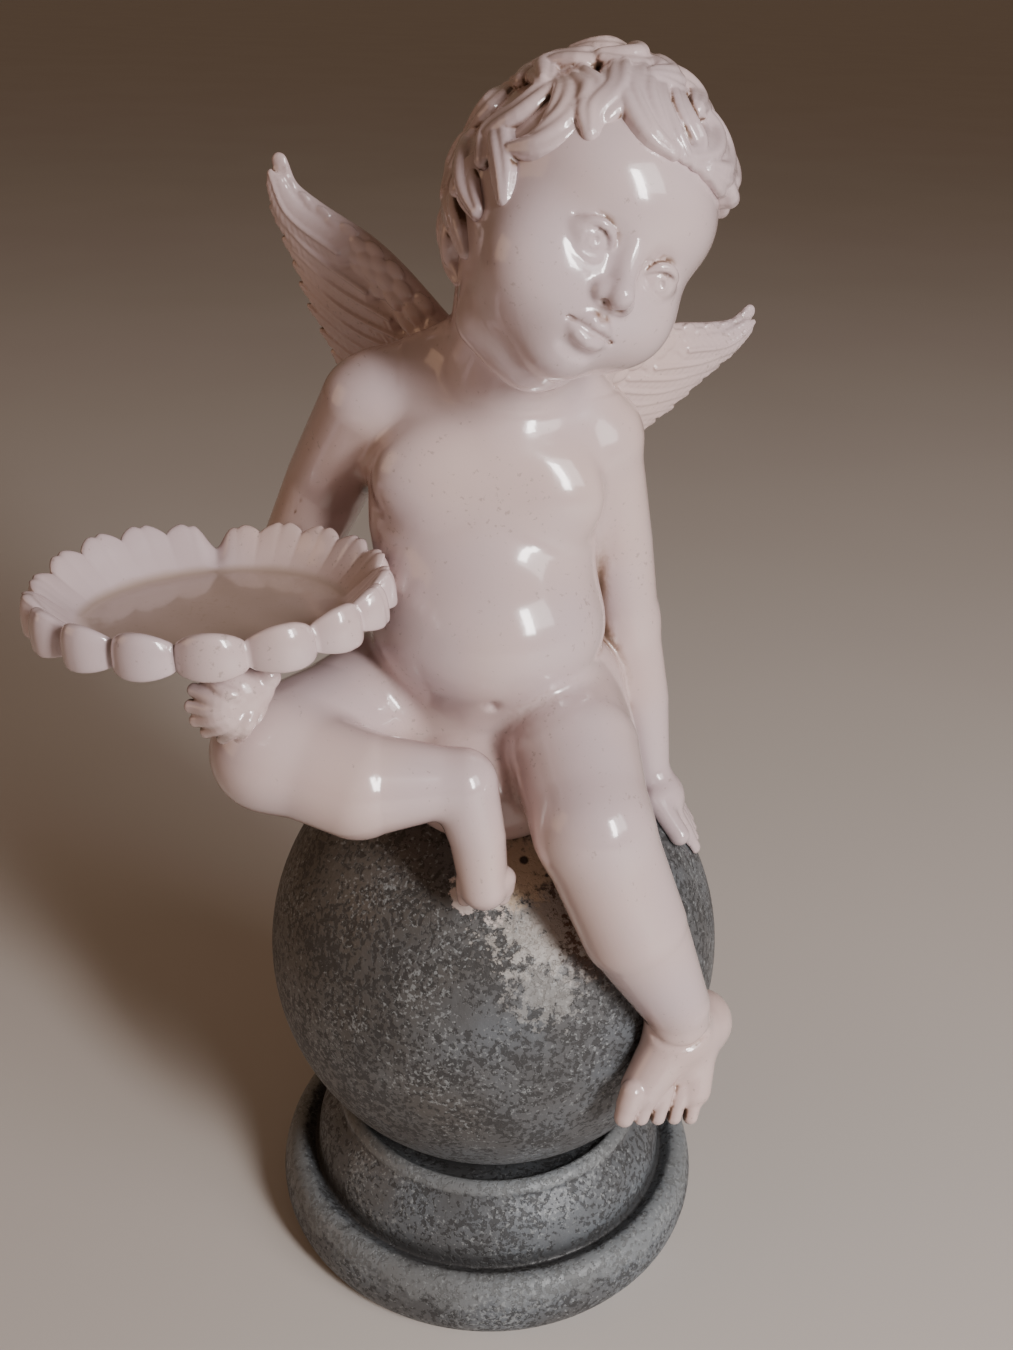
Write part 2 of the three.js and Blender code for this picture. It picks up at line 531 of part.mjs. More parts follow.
// Edge collapses, least change of shape first, until only so many triangles are left
function simplified({ positions, triangles }, target, careAt) {
  const points = [];
  for (let v = 0; v < positions.length; v += 3) points.push(positions.slice(v, v + 3));
  const errors = points.map(() => new Float64Array(10));
  const around = points.map(() => new Set());
  const stamps = new Int32Array(points.length);
  const normalOf = (a, b, c) => {
    const u = [b[0] - a[0], b[1] - a[1], b[2] - a[2]];
    const v = [c[0] - a[0], c[1] - a[1], c[2] - a[2]];
    return [u[1] * v[2] - u[2] * v[1], u[2] * v[0] - u[0] * v[2], u[0] * v[1] - u[1] * v[0]];
  };
  triangles.forEach((triangle, t) => {
    const corners = triangle.map((v) => points[v]);
    const n = normalOf(...corners);
    const size = Math.hypot(...n) || 1e-9;
    const [a, b, c] = n.map((v) => v / size);
    const d = -(a * corners[0][0] + b * corners[0][1] + c * corners[0][2]);
    const care = size * careAt(corners[0]);
    const plane = [a * a, a * b, a * c, a * d, b * b, b * c, b * d, c * c, c * d, d * d];
    for (const v of triangle) {
      around[v].add(t);
      plane.forEach((value, k) => { errors[v][k] += value * care; });
    }
  });
  const costAt = (q, [x, y, z]) => (
    q[0] * x * x + 2 * q[1] * x * y + 2 * q[2] * x * z + 2 * q[3] * x + q[4] * y * y
    + 2 * q[5] * y * z + 2 * q[6] * y + q[7] * z * z + 2 * q[8] * z + q[9]
  );
  const bestPoint = (q, pa, pb) => {
    const [a, b, c, d, e, f, g, h, i] = q;
    const det = a * (e * h - f * f) - b * (b * h - f * c) + c * (b * f - e * c);
    const middle = pa.map((v, k) => (v + pb[k]) / 2);
    const choices = [pa, pb, middle];
    if (Math.abs(det) > 1e-6 * (a + e + h) ** 3) {
      const x = -(d * (e * h - f * f) - b * (g * h - f * i) + c * (g * f - e * i)) / det;
      const y = -(a * (g * h - i * f) - d * (b * h - f * c) + c * (b * i - g * c)) / det;
      const z = -(a * (e * i - f * g) - b * (b * i - g * c) + d * (b * f - e * c)) / det;
      const solved = [x, y, z];
      if (Math.hypot(x - middle[0], y - middle[1], z - middle[2]) < 2 * SAMPLE_STEP) choices.push(solved);
    }
    let best = choices[0];
    choices.forEach((choice) => { if (costAt(q, choice) < costAt(q, best)) best = choice; });
    return best;
  };
  const heap = [];
  const swap = (i, j) => {
    const held = heap[i];
    heap[i] = heap[j];
    heap[j] = held;
  };
  const push = (item) => {
    heap.push(item);
    let i = heap.length - 1;
    while (i > 0 && heap[(i - 1) >> 1].cost > heap[i].cost) {
      swap(i, (i - 1) >> 1);
      i = (i - 1) >> 1;
    }
  };
  const pop = () => {
    const top = heap[0];
    const last = heap.pop();
    if (heap.length > 0) {
      heap[0] = last;
      let i = 0;
      for (;;) {
        let least = i;
        for (const child of [2 * i + 1, 2 * i + 2]) {
          if (child < heap.length && heap[child].cost < heap[least].cost) least = child;
        }
        if (least === i) break;
        swap(i, least);
        i = least;
      }
    }
    return top;
  };
  const neighbours = (v) => {
    const found = new Set();
    around[v].forEach((t) => triangles[t].forEach((w) => found.add(w)));
    found.delete(v);
    return found;
  };
  const offer = (a, b) => {
    const sum = errors[a].map((v, k) => v + errors[b][k]);
    const point = bestPoint(sum, points[a], points[b]);
    const length = Math.hypot(...points[a].map((v, k) => v - points[b][k]));
    push({ cost: costAt(sum, point) + 1e-5 * length * length, a, b, point, stamp: stamps[a] + stamps[b] });
  };
  const flips = (v, other, point) => {
    for (const t of around[v]) {
      if (triangles[t].includes(other)) continue;
      const before = triangles[t].map((w) => points[w]);
      const after = triangles[t].map((w) => (w === v ? point : points[w]));
      const n = normalOf(...before);
      const m = normalOf(...after);
      const turn = n[0] * m[0] + n[1] * m[1] + n[2] * m[2];
      if (turn < 0.25 * Math.hypot(...n) * Math.hypot(...m) || Math.hypot(...m) < 1e-4) return true;
    }
    return false;
  };
  points.forEach((point, a) => neighbours(a).forEach((b) => { if (a < b) offer(a, b); }));
  let left = triangles.length;
  while (left > target && heap.length > 0) {
    const { a, b, point, stamp } = pop();
    if (!around[a] || !around[b] || stamp !== stamps[a] + stamps[b]) continue;
    const ringA = neighbours(a);
    const shared = [...neighbours(b)].filter((v) => ringA.has(v));
    if (!ringA.has(b) || shared.length !== 2 || flips(a, b, point) || flips(b, a, point)) continue;
    points[a] = point;
    errors[b].forEach((v, k) => { errors[a][k] += v; });
    for (const t of around[b]) {
      if (triangles[t].includes(a)) {
        triangles[t].forEach((v) => { if (v !== b) around[v].delete(t); });
        triangles[t] = null;
        left -= 1;
      } else {
        triangles[t] = triangles[t].map((v) => (v === b ? a : v));
        around[a].add(t);
      }
    }
    around[b] = null;
    stamps[a] += 1 + stamps[b];
    neighbours(a).forEach((v) => offer(a, v));
  }
  const kept = triangles.filter((triangle) => triangle);
  return meshGeometry(points.flat(), kept.flat());
}

function meshGeometry(positions, indices) {
  const geometry = new THREE.BufferGeometry();
  geometry.setAttribute('position', new THREE.Float32BufferAttribute(positions, 3));
  geometry.setIndex(indices);
  return geometry;
}

// Joins and cuts of closed meshes
function toSolid(source) {
  const bare = source.clone();
  bare.deleteAttribute('normal');
  bare.deleteAttribute('uv');
  const merged = mergeVertices(bare, 1e-4);
  return new wasm.Manifold(new wasm.Mesh({
    numProp: 3,
    vertProperties: new Float32Array(merged.attributes.position.array),
    triVerts: new Uint32Array(merged.index.array),
  }));
}

function toGeometry(solid) {
  const { vertProperties, triVerts } = solid.getMesh();
  return meshGeometry(Array.from(vertProperties), Array.from(triVerts));
}

function placedDish(geometry) {
  geometry.rotateX(DISH_TILT[0]);
  geometry.rotateY(DISH_TILT[1]);
  return geometry.translate(...DISH_MIDDLE);
}

// Lobes are wide at the front and crowd together at the back: the turn at a share of the lobes
function turnAt(share) {
  const phase = 2 * Math.PI * share;
  let turn = phase;
  for (let i = 0; i < 12; i += 1) turn = phase + LOBE_CROWDING * (Math.cos(turn) - 1);
  return turn;
}

function dishRow(row, share) {
  const [reachShare, rise, drop, swell, lift] = row;
  const turn = turnAt(share);
  const front = (1 - Math.sin(turn)) / 2;
  const fullness = 1 + FRONT_FULLNESS * front ** 2;
  const lobe = (Math.abs(Math.cos(Math.PI * share * DISH_LOBES)) ** 0.75 - 0.65) * fullness;
  const fromNotch = (turn - turnAt(NOTCH_LOBE / DISH_LOBES)) / NOTCH_HALF_WIDTH;
  const notch = 1 - 0.55 * Math.exp(-(fromNotch ** 2));
  const bulge = 1 + BULGE_SHARE * Math.exp(-(((turn - BULGE_TURN) / 0.6) ** 2));
  const reach = (reachShare + swell * lobe + (reachShare > 0.97 ? 0.03 * front - 0.03 : 0)) * bulge;
  const shoulders = Math.abs(Math.sin(2 * turn)) * (1 - front);
  const rim = DISH_RIM_HEIGHT * (1 + shoulders * (BACK_RISE - BACK_LEAN * Math.cos(turn))) * notch;
  return [
    reach * (DISH_LENGTH / 2) * Math.cos(turn),
    reach * (DISH_WIDTH / 2) * Math.sin(turn),
    (rise + lift * lobe - (reachShare > 1 ? FRONT_HANG * front : 0)) * rim - drop * DISH_WALL,
  ];
}

function dishSolid(gap) {
  const steps = DISH_LOBES * LOBE_STEPS;
  const positions = [];
  const indices = [];
  DISH_ROWS.forEach((row) => {
    for (let i = 0; i < steps; i += 1) positions.push(...dishRow(row, i / steps));
  });
  const top = positions.length / 3;
  positions.push(0, 0, 0, 0, 0, -DISH_WALL);
  const last = (DISH_ROWS.length - 1) * steps;
  for (let i = 0; i < steps; i += 1) {
    const next = (i + 1) % steps;
    indices.push(top, i, next, top + 1, last + next, last + i);
    for (let r = 0; r < last; r += steps) {
      indices.push(r + i, r + steps + i, r + steps + next, r + i, r + steps + next, r + next);
    }
  }
  const dish = meshGeometry(positions, indices);
  const umbo = umboGeometry();
  const parts = [dish, umbo].map((geometry) => toSolid(placedDish(swollen(geometry, gap))));
  return parts[0].add(parts[1]);
}

// The shell's hinge end: a small ribbed knob hanging under the front rim
function umboGeometry() {
  const sphere = new THREE.SphereGeometry(1, UMBO_RIBS * 4, 8);
  const bare = mergeVertices(sphere.deleteAttribute('normal').deleteAttribute('uv'), 1e-4);
  const position = bare.attributes.position;
  for (let i = 0; i < position.count; i += 1) {
    const turn = Math.atan2(position.getZ(i), position.getX(i));
    const rib = 1 + UMBO_RELIEF * Math.cos(turn * UMBO_RIBS) * Math.sqrt(1 - position.getY(i) ** 2);
    position.setXYZ(
      i,
      (position.getX(i) * rib * UMBO_WIDTH) / 2,
      (-position.getZ(i) * rib * UMBO_DEPTH) / 2,
      (position.getY(i) * UMBO_HEIGHT) / 2,
    );
  }
  bare.rotateX(-0.35);
  return bare.translate(...UMBO_PLACE);
}

// Every vertex moved out along its normal by the gap
function swollen(geometry, gap) {
  geometry.computeVertexNormals();
  const { position, normal } = geometry.attributes;
  for (let i = 0; i < position.count; i += 1) {
    position.setXYZ(
      i,
      position.getX(i) + gap * normal.getX(i),
      position.getY(i) + gap * normal.getY(i),
      position.getZ(i) + gap * normal.getZ(i),
    );
  }
  return geometry.deleteAttribute('normal');
}

// The ball and its foot, turned as one: a rounded ring, a swelling tier, a bead and the ball
function pedestalGeometry() {
  const seat = RIM_LEVEL - SEAT_DEPTH;
  const neck = Math.sqrt(BALL_RADIUS ** 2 - (BALL_CENTRE.z - seat) ** 2);
  const profile = [
    [0, 0],
    [FOOT_RADIUS - 3, 0],
    [FOOT_RADIUS - 0.6, FOOT_RING_HEIGHT * 0.25],
    [FOOT_RADIUS, FOOT_RING_HEIGHT * 0.52],
    [FOOT_RADIUS - 2, FOOT_RING_HEIGHT * 0.83],
    [FOOT_RADIUS - 6.5, FOOT_RING_HEIGHT],
    [TIER_RADIUS + 1.5, FOOT_RING_HEIGHT - 2.5],
    [TIER_RADIUS - 0.5, FOOT_RING_HEIGHT + TIER_HEIGHT * 0.25],
    [TIER_RADIUS - 3, FOOT_RING_HEIGHT + TIER_HEIGHT * 0.55],
    [TIER_RIM_RADIUS + 0.6, RIM_LEVEL - 4.5],
    [TIER_RIM_RADIUS, RIM_LEVEL - 1.5],
    [TIER_RIM_RADIUS - 3, RIM_LEVEL],
    [TIER_RIM_RADIUS - 7, RIM_LEVEL - 3.5],
    [neck, seat],
  ];
  const start = Math.asin(neck / BALL_RADIUS);
  for (let i = 1; i < BALL_STEPS; i += 1) {
    const turn = start + ((Math.PI - start) * i) / BALL_STEPS;
    profile.push([BALL_RADIUS * Math.sin(turn), BALL_CENTRE.z - BALL_RADIUS * Math.cos(turn)]);
  }
  profile.push([0, BALL_CENTRE.z + BALL_RADIUS]);
  const points = profile.map(([r, z]) => new THREE.Vector2(r, z));
  return new THREE.LatheGeometry(points, LATHE_SIDES).rotateX(Math.PI / 2);
}

function ballWithGap() {
  const ball = new THREE.SphereGeometry(BALL_RADIUS + FIT_GAP, 72, 48);
  return toSolid(ball.translate(BALL_CENTRE.x, BALL_CENTRE.y, BALL_CENTRE.z));
}

function cherubGeometry() {
  const field = joined([
    ...torsoShapes(),
    ...legShapes(),
    ...armShapes(),
    ...wings(),
    ...faceShapes(),
    ...hairShapes(),
  ]);
  const low = at(-105, -90, 0);
  const high = at(95, 80, 272);
  low.z = BALL_CENTRE.z - 45 * SHARE;
  const surface = surfaceOf(field, low, high, SAMPLE_STEP * SHARE);
  const spot = new THREE.Vector3();
  const careAt = (point) => (spot.fromArray(point).distanceTo(HEAD_MIDDLE) < HEAD_REACH * SHARE ? 5 : 1);
  const body = toSolid(simplified(surface, FIGURE_TRIANGLES, careAt));
  const cleared = body.subtract(ballWithGap()).subtract(dishSolid(FIT_GAP));
  return toGeometry(cleared.subtract(dishSolid(0)));
}

function piece(name, geometry, material) {
  const mesh = new THREE.Mesh(geometry, material);
  mesh.name = name;
  return mesh;
}

const statuette = new THREE.Group();
statuette.name = 'angel_statuette';
statuette.add(piece('ball_pedestal', pedestalGeometry(), stone));
statuette.add(piece('shell_dish', toGeometry(dishSolid(0)), dishGlaze));
statuette.add(piece('cherub', cherubGeometry(), glaze));

export default statuette;
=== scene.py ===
"""Dress the angel statuette: a white-glazed cherub on a stone-effect ball, with a shell dish.

The figure is modelled as clay: signed distances on a fine grid, to which ovals and tapering
rods are added or carved, and whose surface then becomes the mesh. Clay sizes are in
millimetres, measured from the middle of the ball, and meshes are in metres in the frame
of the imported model.
"""
import logging
import math
from dataclasses import dataclass, field
from enum import Enum

import bpy
import numpy as np
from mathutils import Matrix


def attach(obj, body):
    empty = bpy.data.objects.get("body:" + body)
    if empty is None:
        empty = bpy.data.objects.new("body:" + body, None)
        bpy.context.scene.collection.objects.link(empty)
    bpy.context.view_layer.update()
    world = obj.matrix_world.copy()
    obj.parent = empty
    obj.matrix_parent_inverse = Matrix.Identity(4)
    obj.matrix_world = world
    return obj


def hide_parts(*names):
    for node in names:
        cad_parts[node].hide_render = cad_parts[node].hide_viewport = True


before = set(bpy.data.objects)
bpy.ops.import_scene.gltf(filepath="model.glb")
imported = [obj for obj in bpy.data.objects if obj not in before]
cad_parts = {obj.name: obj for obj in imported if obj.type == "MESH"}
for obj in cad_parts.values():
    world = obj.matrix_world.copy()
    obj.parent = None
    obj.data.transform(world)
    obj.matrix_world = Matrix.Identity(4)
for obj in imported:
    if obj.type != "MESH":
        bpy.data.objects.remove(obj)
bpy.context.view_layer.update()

import openvdb
from mathutils import Matrix, Vector

MM = 0.001
FAR = 1000.0

log = logging.getLogger("statuette")

Point = tuple[float, float, float]

BALL_RADIUS = 70.0
BALL_HEIGHT = 102.0
WELD = 0.00002


def unit(vector: np.ndarray) -> np.ndarray:
    """Return the vector at length one."""
    return vector / np.linalg.norm(vector)


def link_mesh(name: str, mesh: bpy.types.Mesh) -> bpy.types.Object:
    """Return a new object of the scene that holds the mesh."""
    piece = bpy.data.objects.new(name, mesh)
    bpy.context.collection.objects.link(piece)
    return piece


def store(mesh: bpy.types.Mesh, name: str, values: list[float]) -> None:
    """Store a number of a name at each point of a mesh."""
    mark = mesh.attributes.new(name, "FLOAT", "POINT")
    mark.data.foreach_set("value", [float(value) for value in values])


def smooth_path(points: list[np.ndarray], steps: int) -> list[np.ndarray]:
    """Run a Catmull-Rom curve through points.

    Args:
        points: The points that the curve passes.
        steps: How many stretches each span between two points gets.

    Returns:
        The points of the finer path, both ends included.
    """
    padded = [2 * points[0] - points[1], *points, 2 * points[-1] - points[-2]]
    path = []
    for a, b, c, d in zip(padded, padded[1:], padded[2:], padded[3:]):
        for k in range(steps):
            t = k / steps
            bend = (2 * a - 5 * b + 4 * c - d) * t**2
            swing = (3 * b - a - 3 * c + d) * t**3
            path.append(0.5 * (2 * b + (c - a) * t + bend + swing))
    path.append(points[-1])
    return path


class Clay:
    """A block of clay: distances from its surface in millimetres, negative inside."""

    def __init__(self, low: Point, high: Point, step: float) -> None:
        """Lay out the grid.

        Args:
            low: The block's lowest corner.
            high: The block's highest corner.
            step: The distance between two samples.
        """
        self.step = step
        self.low = np.array(low, dtype=float)
        counts = np.ceil((np.array(high) - self.low) / step).astype(int) + 1
        self.axes = [
            (self.low[k] + step * np.arange(counts[k])).astype(np.float32) for k in range(3)
        ]
        self.values = np.full(tuple(counts), FAR, dtype=np.float32)

    def window(self, low: np.ndarray, high: np.ndarray) -> tuple[slice, slice, slice]:
        """Return the slices of the grid that cover a box.

        Args:
            low: The box's lowest corner.
            high: The box's highest corner.

        Returns:
            One slice for each axis.
        """
        start = np.maximum(np.floor((low - self.low) / self.step).astype(int), 0)
        stop = np.minimum(np.ceil((high - self.low) / self.step).astype(int) + 1, self.values.shape)
        return tuple(slice(int(a), int(max(a, b))) for a, b in zip(start, stop))

    def coordinates(self, where: tuple[slice, slice, slice], origin: np.ndarray) -> list[np.ndarray]:
        """Return the window's coordinates, measured from a point, ready to broadcast."""
        x, y, z = (self.axes[k][where[k]] - np.float32(origin[k]) for k in range(3))
        return [x[:, None, None], y[None, :, None], z[None, None, :]]

    def merge(
        self, where: tuple[slice, slice, slice], distance: np.ndarray, soft: float, carve: bool
    ) -> None:
        """Melt a shape into the clay, or out of it.

        Args:
            where: The window that the distances cover.
            distance: The shape's distances in that window.
            soft: How far the join is rounded.
            carve: True to take the shape away.
        """
        held = self.values[where]
        side = -held if carve else held
        least = np.minimum(side, distance)
        if soft > 0:
            melt = np.maximum(soft - np.abs(side - distance), 0)
            least = least - melt * melt / (4 * soft)
        self.values[where] = -least if carve else least

    def oval(
        self,
        middle: np.ndarray,
        radii: Point,
        soft: float,
        axes: np.ndarray | None = None,
        carve: bool = False,
    ) -> None:
        """Add or carve an oval.

        Args:
            middle: Its middle.
            radii: Its half sizes along its axes.
            soft: How far the join is rounded.
            axes: Its axes as rows, or None for the grid's own.
            carve: True to take it away.
        """
        axes = np.eye(3) if axes is None else axes
        reach = np.sqrt(((np.array(radii)[:, None] * axes) ** 2).sum(axis=0)) + soft + 3 * self.step
        where = self.window(middle - reach, middle + reach)
        x, y, z = self.coordinates(where, middle)
        near = slope = 0.0
        for radius, axis in zip(radii, axes.astype(np.float32)):
            share = (x * axis[0] + y * axis[1] + z * axis[2]) / radius
            near = near + share * share
            slope = slope + (share / radius) ** 2
        near = np.sqrt(near)
        distance = near * (near - 1) / np.maximum(np.sqrt(slope), 1e-6)
        self.merge(where, distance, soft, carve)

    def rods(
        self,
        points: list[np.ndarray],
        radii: list[float],
        soft: float,
        normal: np.ndarray | None = None,
        flatness: float = 1.0,
        barbs: float = 0.0,
        carve: bool = False,
    ) -> None:
        """Add or carve tapering round rods from point to point.

        Args:
            points: The points of the row.
            radii: The radius at each point.
            soft: How far the join is rounded.
            normal: The direction in which the rods are flattened, or None.
            flatness: Their thickness there, as a share of their width.
            barbs: The depth of slanting grooves, as on a feather.
            carve: True to take them away.
        """
        spots = np.array(points, dtype=float)
        sizes = np.array(radii, dtype=float)
        margin = soft + 3 * self.step
        low = (spots - sizes[:, None]).min(axis=0) - margin
        high = (spots + sizes[:, None]).max(axis=0) + margin
        where = self.window(low, high)
        distance = np.full(tuple(s.stop - s.start for s in where), FAR, dtype=np.float32)
        if distance.size == 0:
            return
        for i in range(len(spots) - 1):
            a, b = spots[i], spots[i + 1]
            reach = max(sizes[i], sizes[i + 1]) + margin
            part = self.window(np.minimum(a, b) - reach, np.maximum(a, b) + reach)
            local = tuple(
                slice(max(p.start, w.start) - w.start, min(p.stop, w.stop) - w.start)
                for p, w in zip(part, where)
            )
            part = tuple(slice(l.start + w.start, l.stop + w.start) for l, w in zip(local, where))
            x, y, z = self.coordinates(part, a)
            edge = (b - a).astype(np.float32)
            along = (x * edge[0] + y * edge[1] + z * edge[2]) / max(float(edge @ edge), 1e-9)
            t = np.clip(along, 0, 1)
            dx, dy, dz = x - t * edge[0], y - t * edge[1], z - t * edge[2]
            radius = sizes[i] + t * (sizes[i + 1] - sizes[i])
            square = dx * dx + dy * dy + dz * dz
            if normal is None:
                piece = np.sqrt(square) - radius
            else:
                n = dx * normal[0] + dy * normal[1] + dz * normal[2]
                flat = np.maximum(square - n * n, 0)
                near = np.sqrt(flat + (n / flatness) ** 2) / radius
                slope = np.sqrt(flat + (n / flatness**2) ** 2) / radius**2
                piece = near * (near - 1) / np.maximum(slope, 1e-6)
                if barbs > 0:
                    run = along * float(np.linalg.norm(edge)) + 0.8 * np.sqrt(flat)
                    piece = piece + barbs * (0.5 + 0.5 * np.cos(run * (2 * math.pi / 2.1)))
            distance[local] = np.minimum(distance[local], piece)
        self.merge(where, distance, soft, carve)

    def soften(self, low: np.ndarray, high: np.ndarray, radius: float) -> None:
        """Rub the clay smooth inside a box, which rounds edges and fills creases.

        Args:
            low: The box's lowest corner.
            high: The box's highest corner.
            radius: How far the rubbing reaches.
        """
        where = self.window(low, high)
        limit = np.float32(3 * radius)
        block = np.clip(self.values[where], -limit, limit)
        half = max(1, int(round(radius / self.step / 1.6)))
        for axis in (0, 1, 2, 0, 1, 2):
            pad = [(0, 0)] * 3
            pad[axis] = (half + 1, half)
            total = np.cumsum(np.pad(block, pad, mode="edge"), axis=axis, dtype=np.float64)
            count = block.shape[axis]
            ahead = np.take(total, range(2 * half + 1, 2 * half + 1 + count), axis=axis)
            behind = np.take(total, range(count), axis=axis)
            block = ((ahead - behind) / (2 * half + 1)).astype(np.float32)
        self.values[where] = block

    def sample(self, spots: np.ndarray) -> np.ndarray:
        """Read the distance at points, from the nearest samples.

        Args:
            spots: The points, one a row.

        Returns:
            The distance at each.
        """
        index = np.rint((spots - self.low) / self.step).astype(int)
        index = np.clip(index, 0, np.array(self.values.shape) - 1)
        return self.values[index[:, 0], index[:, 1], index[:, 2]]

    def to_mesh(self, name: str, origin: np.ndarray, most: int) -> bpy.types.Object:
        """Turn the clay's surface into a smooth mesh in metres.

        Args:
            name: The piece's name.
            origin: Where the clay's zero lies in the frame, in millimetres.
            most: The most triangles that the mesh may keep.

        Returns:
            The mesh object, linked to the scene.
        """
        grid = openvdb.FloatGrid(3.0)
        limit = np.float32(3 * self.step)
        grid.copyFromArray(np.clip(self.values, -limit, limit) / self.step, tolerance=0.0)
        points, quads = grid.convertToQuads(0.0)
        spots = points.astype(float) * self.step + self.low
        mesh = bpy.data.meshes.new(name)
        mesh.from_pydata(((spots + origin) * MM).tolist(), [], quads.tolist())
        mesh.update()
        piece = link_mesh(name, mesh)
        triangles = 2 * len(quads)
        if triangles > most:
            thin = piece.modifiers.new("thin", "DECIMATE")
            thin.ratio = most / triangles
            bake(piece)
        piece.data.polygons.foreach_set("use_smooth", [True] * len(piece.data.polygons))
        self.mark_hollows(piece, origin)
        return piece

    def mark_hollows(self, piece: bpy.types.Object, origin: np.ndarray) -> None:
        """Store how sheltered each point lies, for the painted shade in the folds.

        Args:
            piece: The mesh to mark.
            origin: Where the clay's zero lies in the frame, in millimetres.
        """
        count = len(piece.data.vertices)
        spots = np.empty(count * 3)
        normals = np.empty(count * 3)
        piece.data.vertices.foreach_get("co", spots)
        piece.data.vertices.foreach_get("normal", normals)
        spots = spots.reshape(-1, 3) / MM - origin
        normals = normals.reshape(-1, 3)
        open_share = np.zeros(count)
        heights = (1.5, 3.0, 5.5)
        for height in heights:
            open_share += np.clip(self.sample(spots + normals * height) / height, 0, 1) / len(heights)
        # How sheltered each point is; the finishes paint shade from it.
        store(piece.data, "hollow", list(1 - open_share))


def bake(piece: bpy.types.Object) -> None:
    """Turn a piece's modifiers into plain mesh and remove them."""
    graph = bpy.context.evaluated_depsgraph_get()
    graph.update()
    mesh = bpy.data.meshes.new_from_object(piece.evaluated_get(graph))
    piece.modifiers.clear()
    old = piece.data
    piece.data = mesh
    bpy.data.meshes.remove(old)


@dataclass(frozen=True)
class HeadPlace:
    """Where the head sits and how it leans, in the clay's millimetres."""

    middle: Point = (14.0, -16.0, 219.5)
    front_hint: Point = (0.41, -0.91, -0.03)
    up_hint: Point = (0.48, 0.19, 0.855)
    skull: Point = (29.0, 30.5, 33.0)
    crown_rise: float = 6.5
    crown_setback: float = 5.0
    close_place: tuple[float, float] = (-110.0, 8.0)
    close_depth: float = 4.4

    def axes(self) -> np.ndarray:
        """Return the side, up and front axes as rows; side points to the figure's left."""
        front = unit(np.array(self.front_hint))
        side = unit(np.cross(np.array(self.up_hint), front))
        return np.array([side, np.cross(front, side), front])

    def spot(self, side: float, up: float, front: float) -> np.ndarray:
        """Return a point of the head from its own side, up and front distances."""
        return np.array(self.middle) + np.array([side, up, front]) @ self.axes()

    def closeness(self, turn: float, height: float) -> float:
        """Return how much lower the hair lies at a place, closest behind the right temple."""
        t = math.radians(turn - self.close_place[0])
        h, closest = math.radians(height), math.radians(self.close_place[1])
        near = math.sin(h) * math.sin(closest) + math.cos(h) * math.cos(closest) * math.cos(t)
        return self.close_depth * max(0.0, near) ** 2

    def over_skull(self, turn: float, height: float, lift: float) -> np.ndarray:
        """Find a point over the skull.

        Args:
            turn: Degrees round the head, 0 at the face and 90 at the figure's left.
            height: Degrees above the skull's middle.
            lift: How far the point lies over the skull.

        Returns:
            The point.
        """
        t, h = math.radians(turn), math.radians(height)
        side, up, front = (radius + lift for radius in self.skull)
        return self.spot(
            side * math.sin(t) * math.cos(h),
            self.crown_rise + up * math.sin(h),
            front * math.cos(t) * math.cos(h) - self.crown_setback,
        )


@dataclass(frozen=True)
class DishPlace:
    """Where the dish sits and how it leans, in the clay's millimetres."""

    knee: Point = (-59.0, -46.0, 91.5)
    from_knee: Point = (-15.5, 12.0, 34.8)
    tilt: tuple[float, float] = (0.01, -0.075)
    wall: float = 3.6

    def turned(self) -> np.ndarray:
        """Return the turn of the dish as a matrix for column vectors."""
        about_x = Matrix.Rotation(self.tilt[0], 3, "X")
        about_y = Matrix.Rotation(self.tilt[1], 3, "Y")
        return np.array(about_y @ about_x)

    def middle(self) -> np.ndarray:
        """Return the middle of the dish's floor."""
        return np.array(self.knee) + np.array(self.from_knee)

    def under(self, along: float, back: float, down: float) -> np.ndarray:
        """Return a point along the dish, back from its middle, and down from its underside."""
        return self.middle() + self.turned() @ np.array([along, back, -down - self.wall])


def trail(*rows: Point) -> list[np.ndarray]:
    """Return rows of numbers as points."""
    return [np.array(row, dtype=float) for row in rows]


def mirrored(row: Point, hand: int) -> Point:
    """Return the point on one hand of the face, with its side distance turned over for -1."""
    return (hand * row[0], row[1], row[2])


def digits(clay: Clay, ends: list[np.ndarray], radii: list[float], soft: float) -> None:
    """Add fingers or toes fanned side by side.

    Args:
        clay: The clay that they join.
        ends: The first root, the last root, the first tip and the last tip.
        radii: The radius of each.
        soft: How far the joins are rounded.
    """
    first_root, last_root, first_tip, last_tip = ends
    for i, radius in enumerate(radii):
        t = i / (len(radii) - 1)
        root = first_root + t * (last_root - first_root)
        tip = first_tip + t * (last_tip - first_tip)
        knuckle = root + 0.5 * (tip - root)
        waist = root + 0.72 * (tip - root)
        clay.rods([root, knuckle, waist, tip], [radius, radius, radius * 0.9, radius * 0.84], soft)


def ring_points(middle: np.ndarray, across: np.ndarray, radius: float, count: int) -> list[np.ndarray]:
    """Lay points round a circle.

    Args:
        middle: The circle's middle.
        across: The axis that the circle goes round.
        radius: Its radius.
        count: How many stretches it has.

    Returns:
        The points, with the first again at the end.
    """
    along = unit(across)
    u = unit(np.cross(along, [0.31, 0.17, 0.93]))
    v = np.cross(along, u)
    turns = [2 * math.pi * k / count for k in range(count + 1)]
    return [middle + radius * (math.cos(turn) * u + math.sin(turn) * v) for turn in turns]


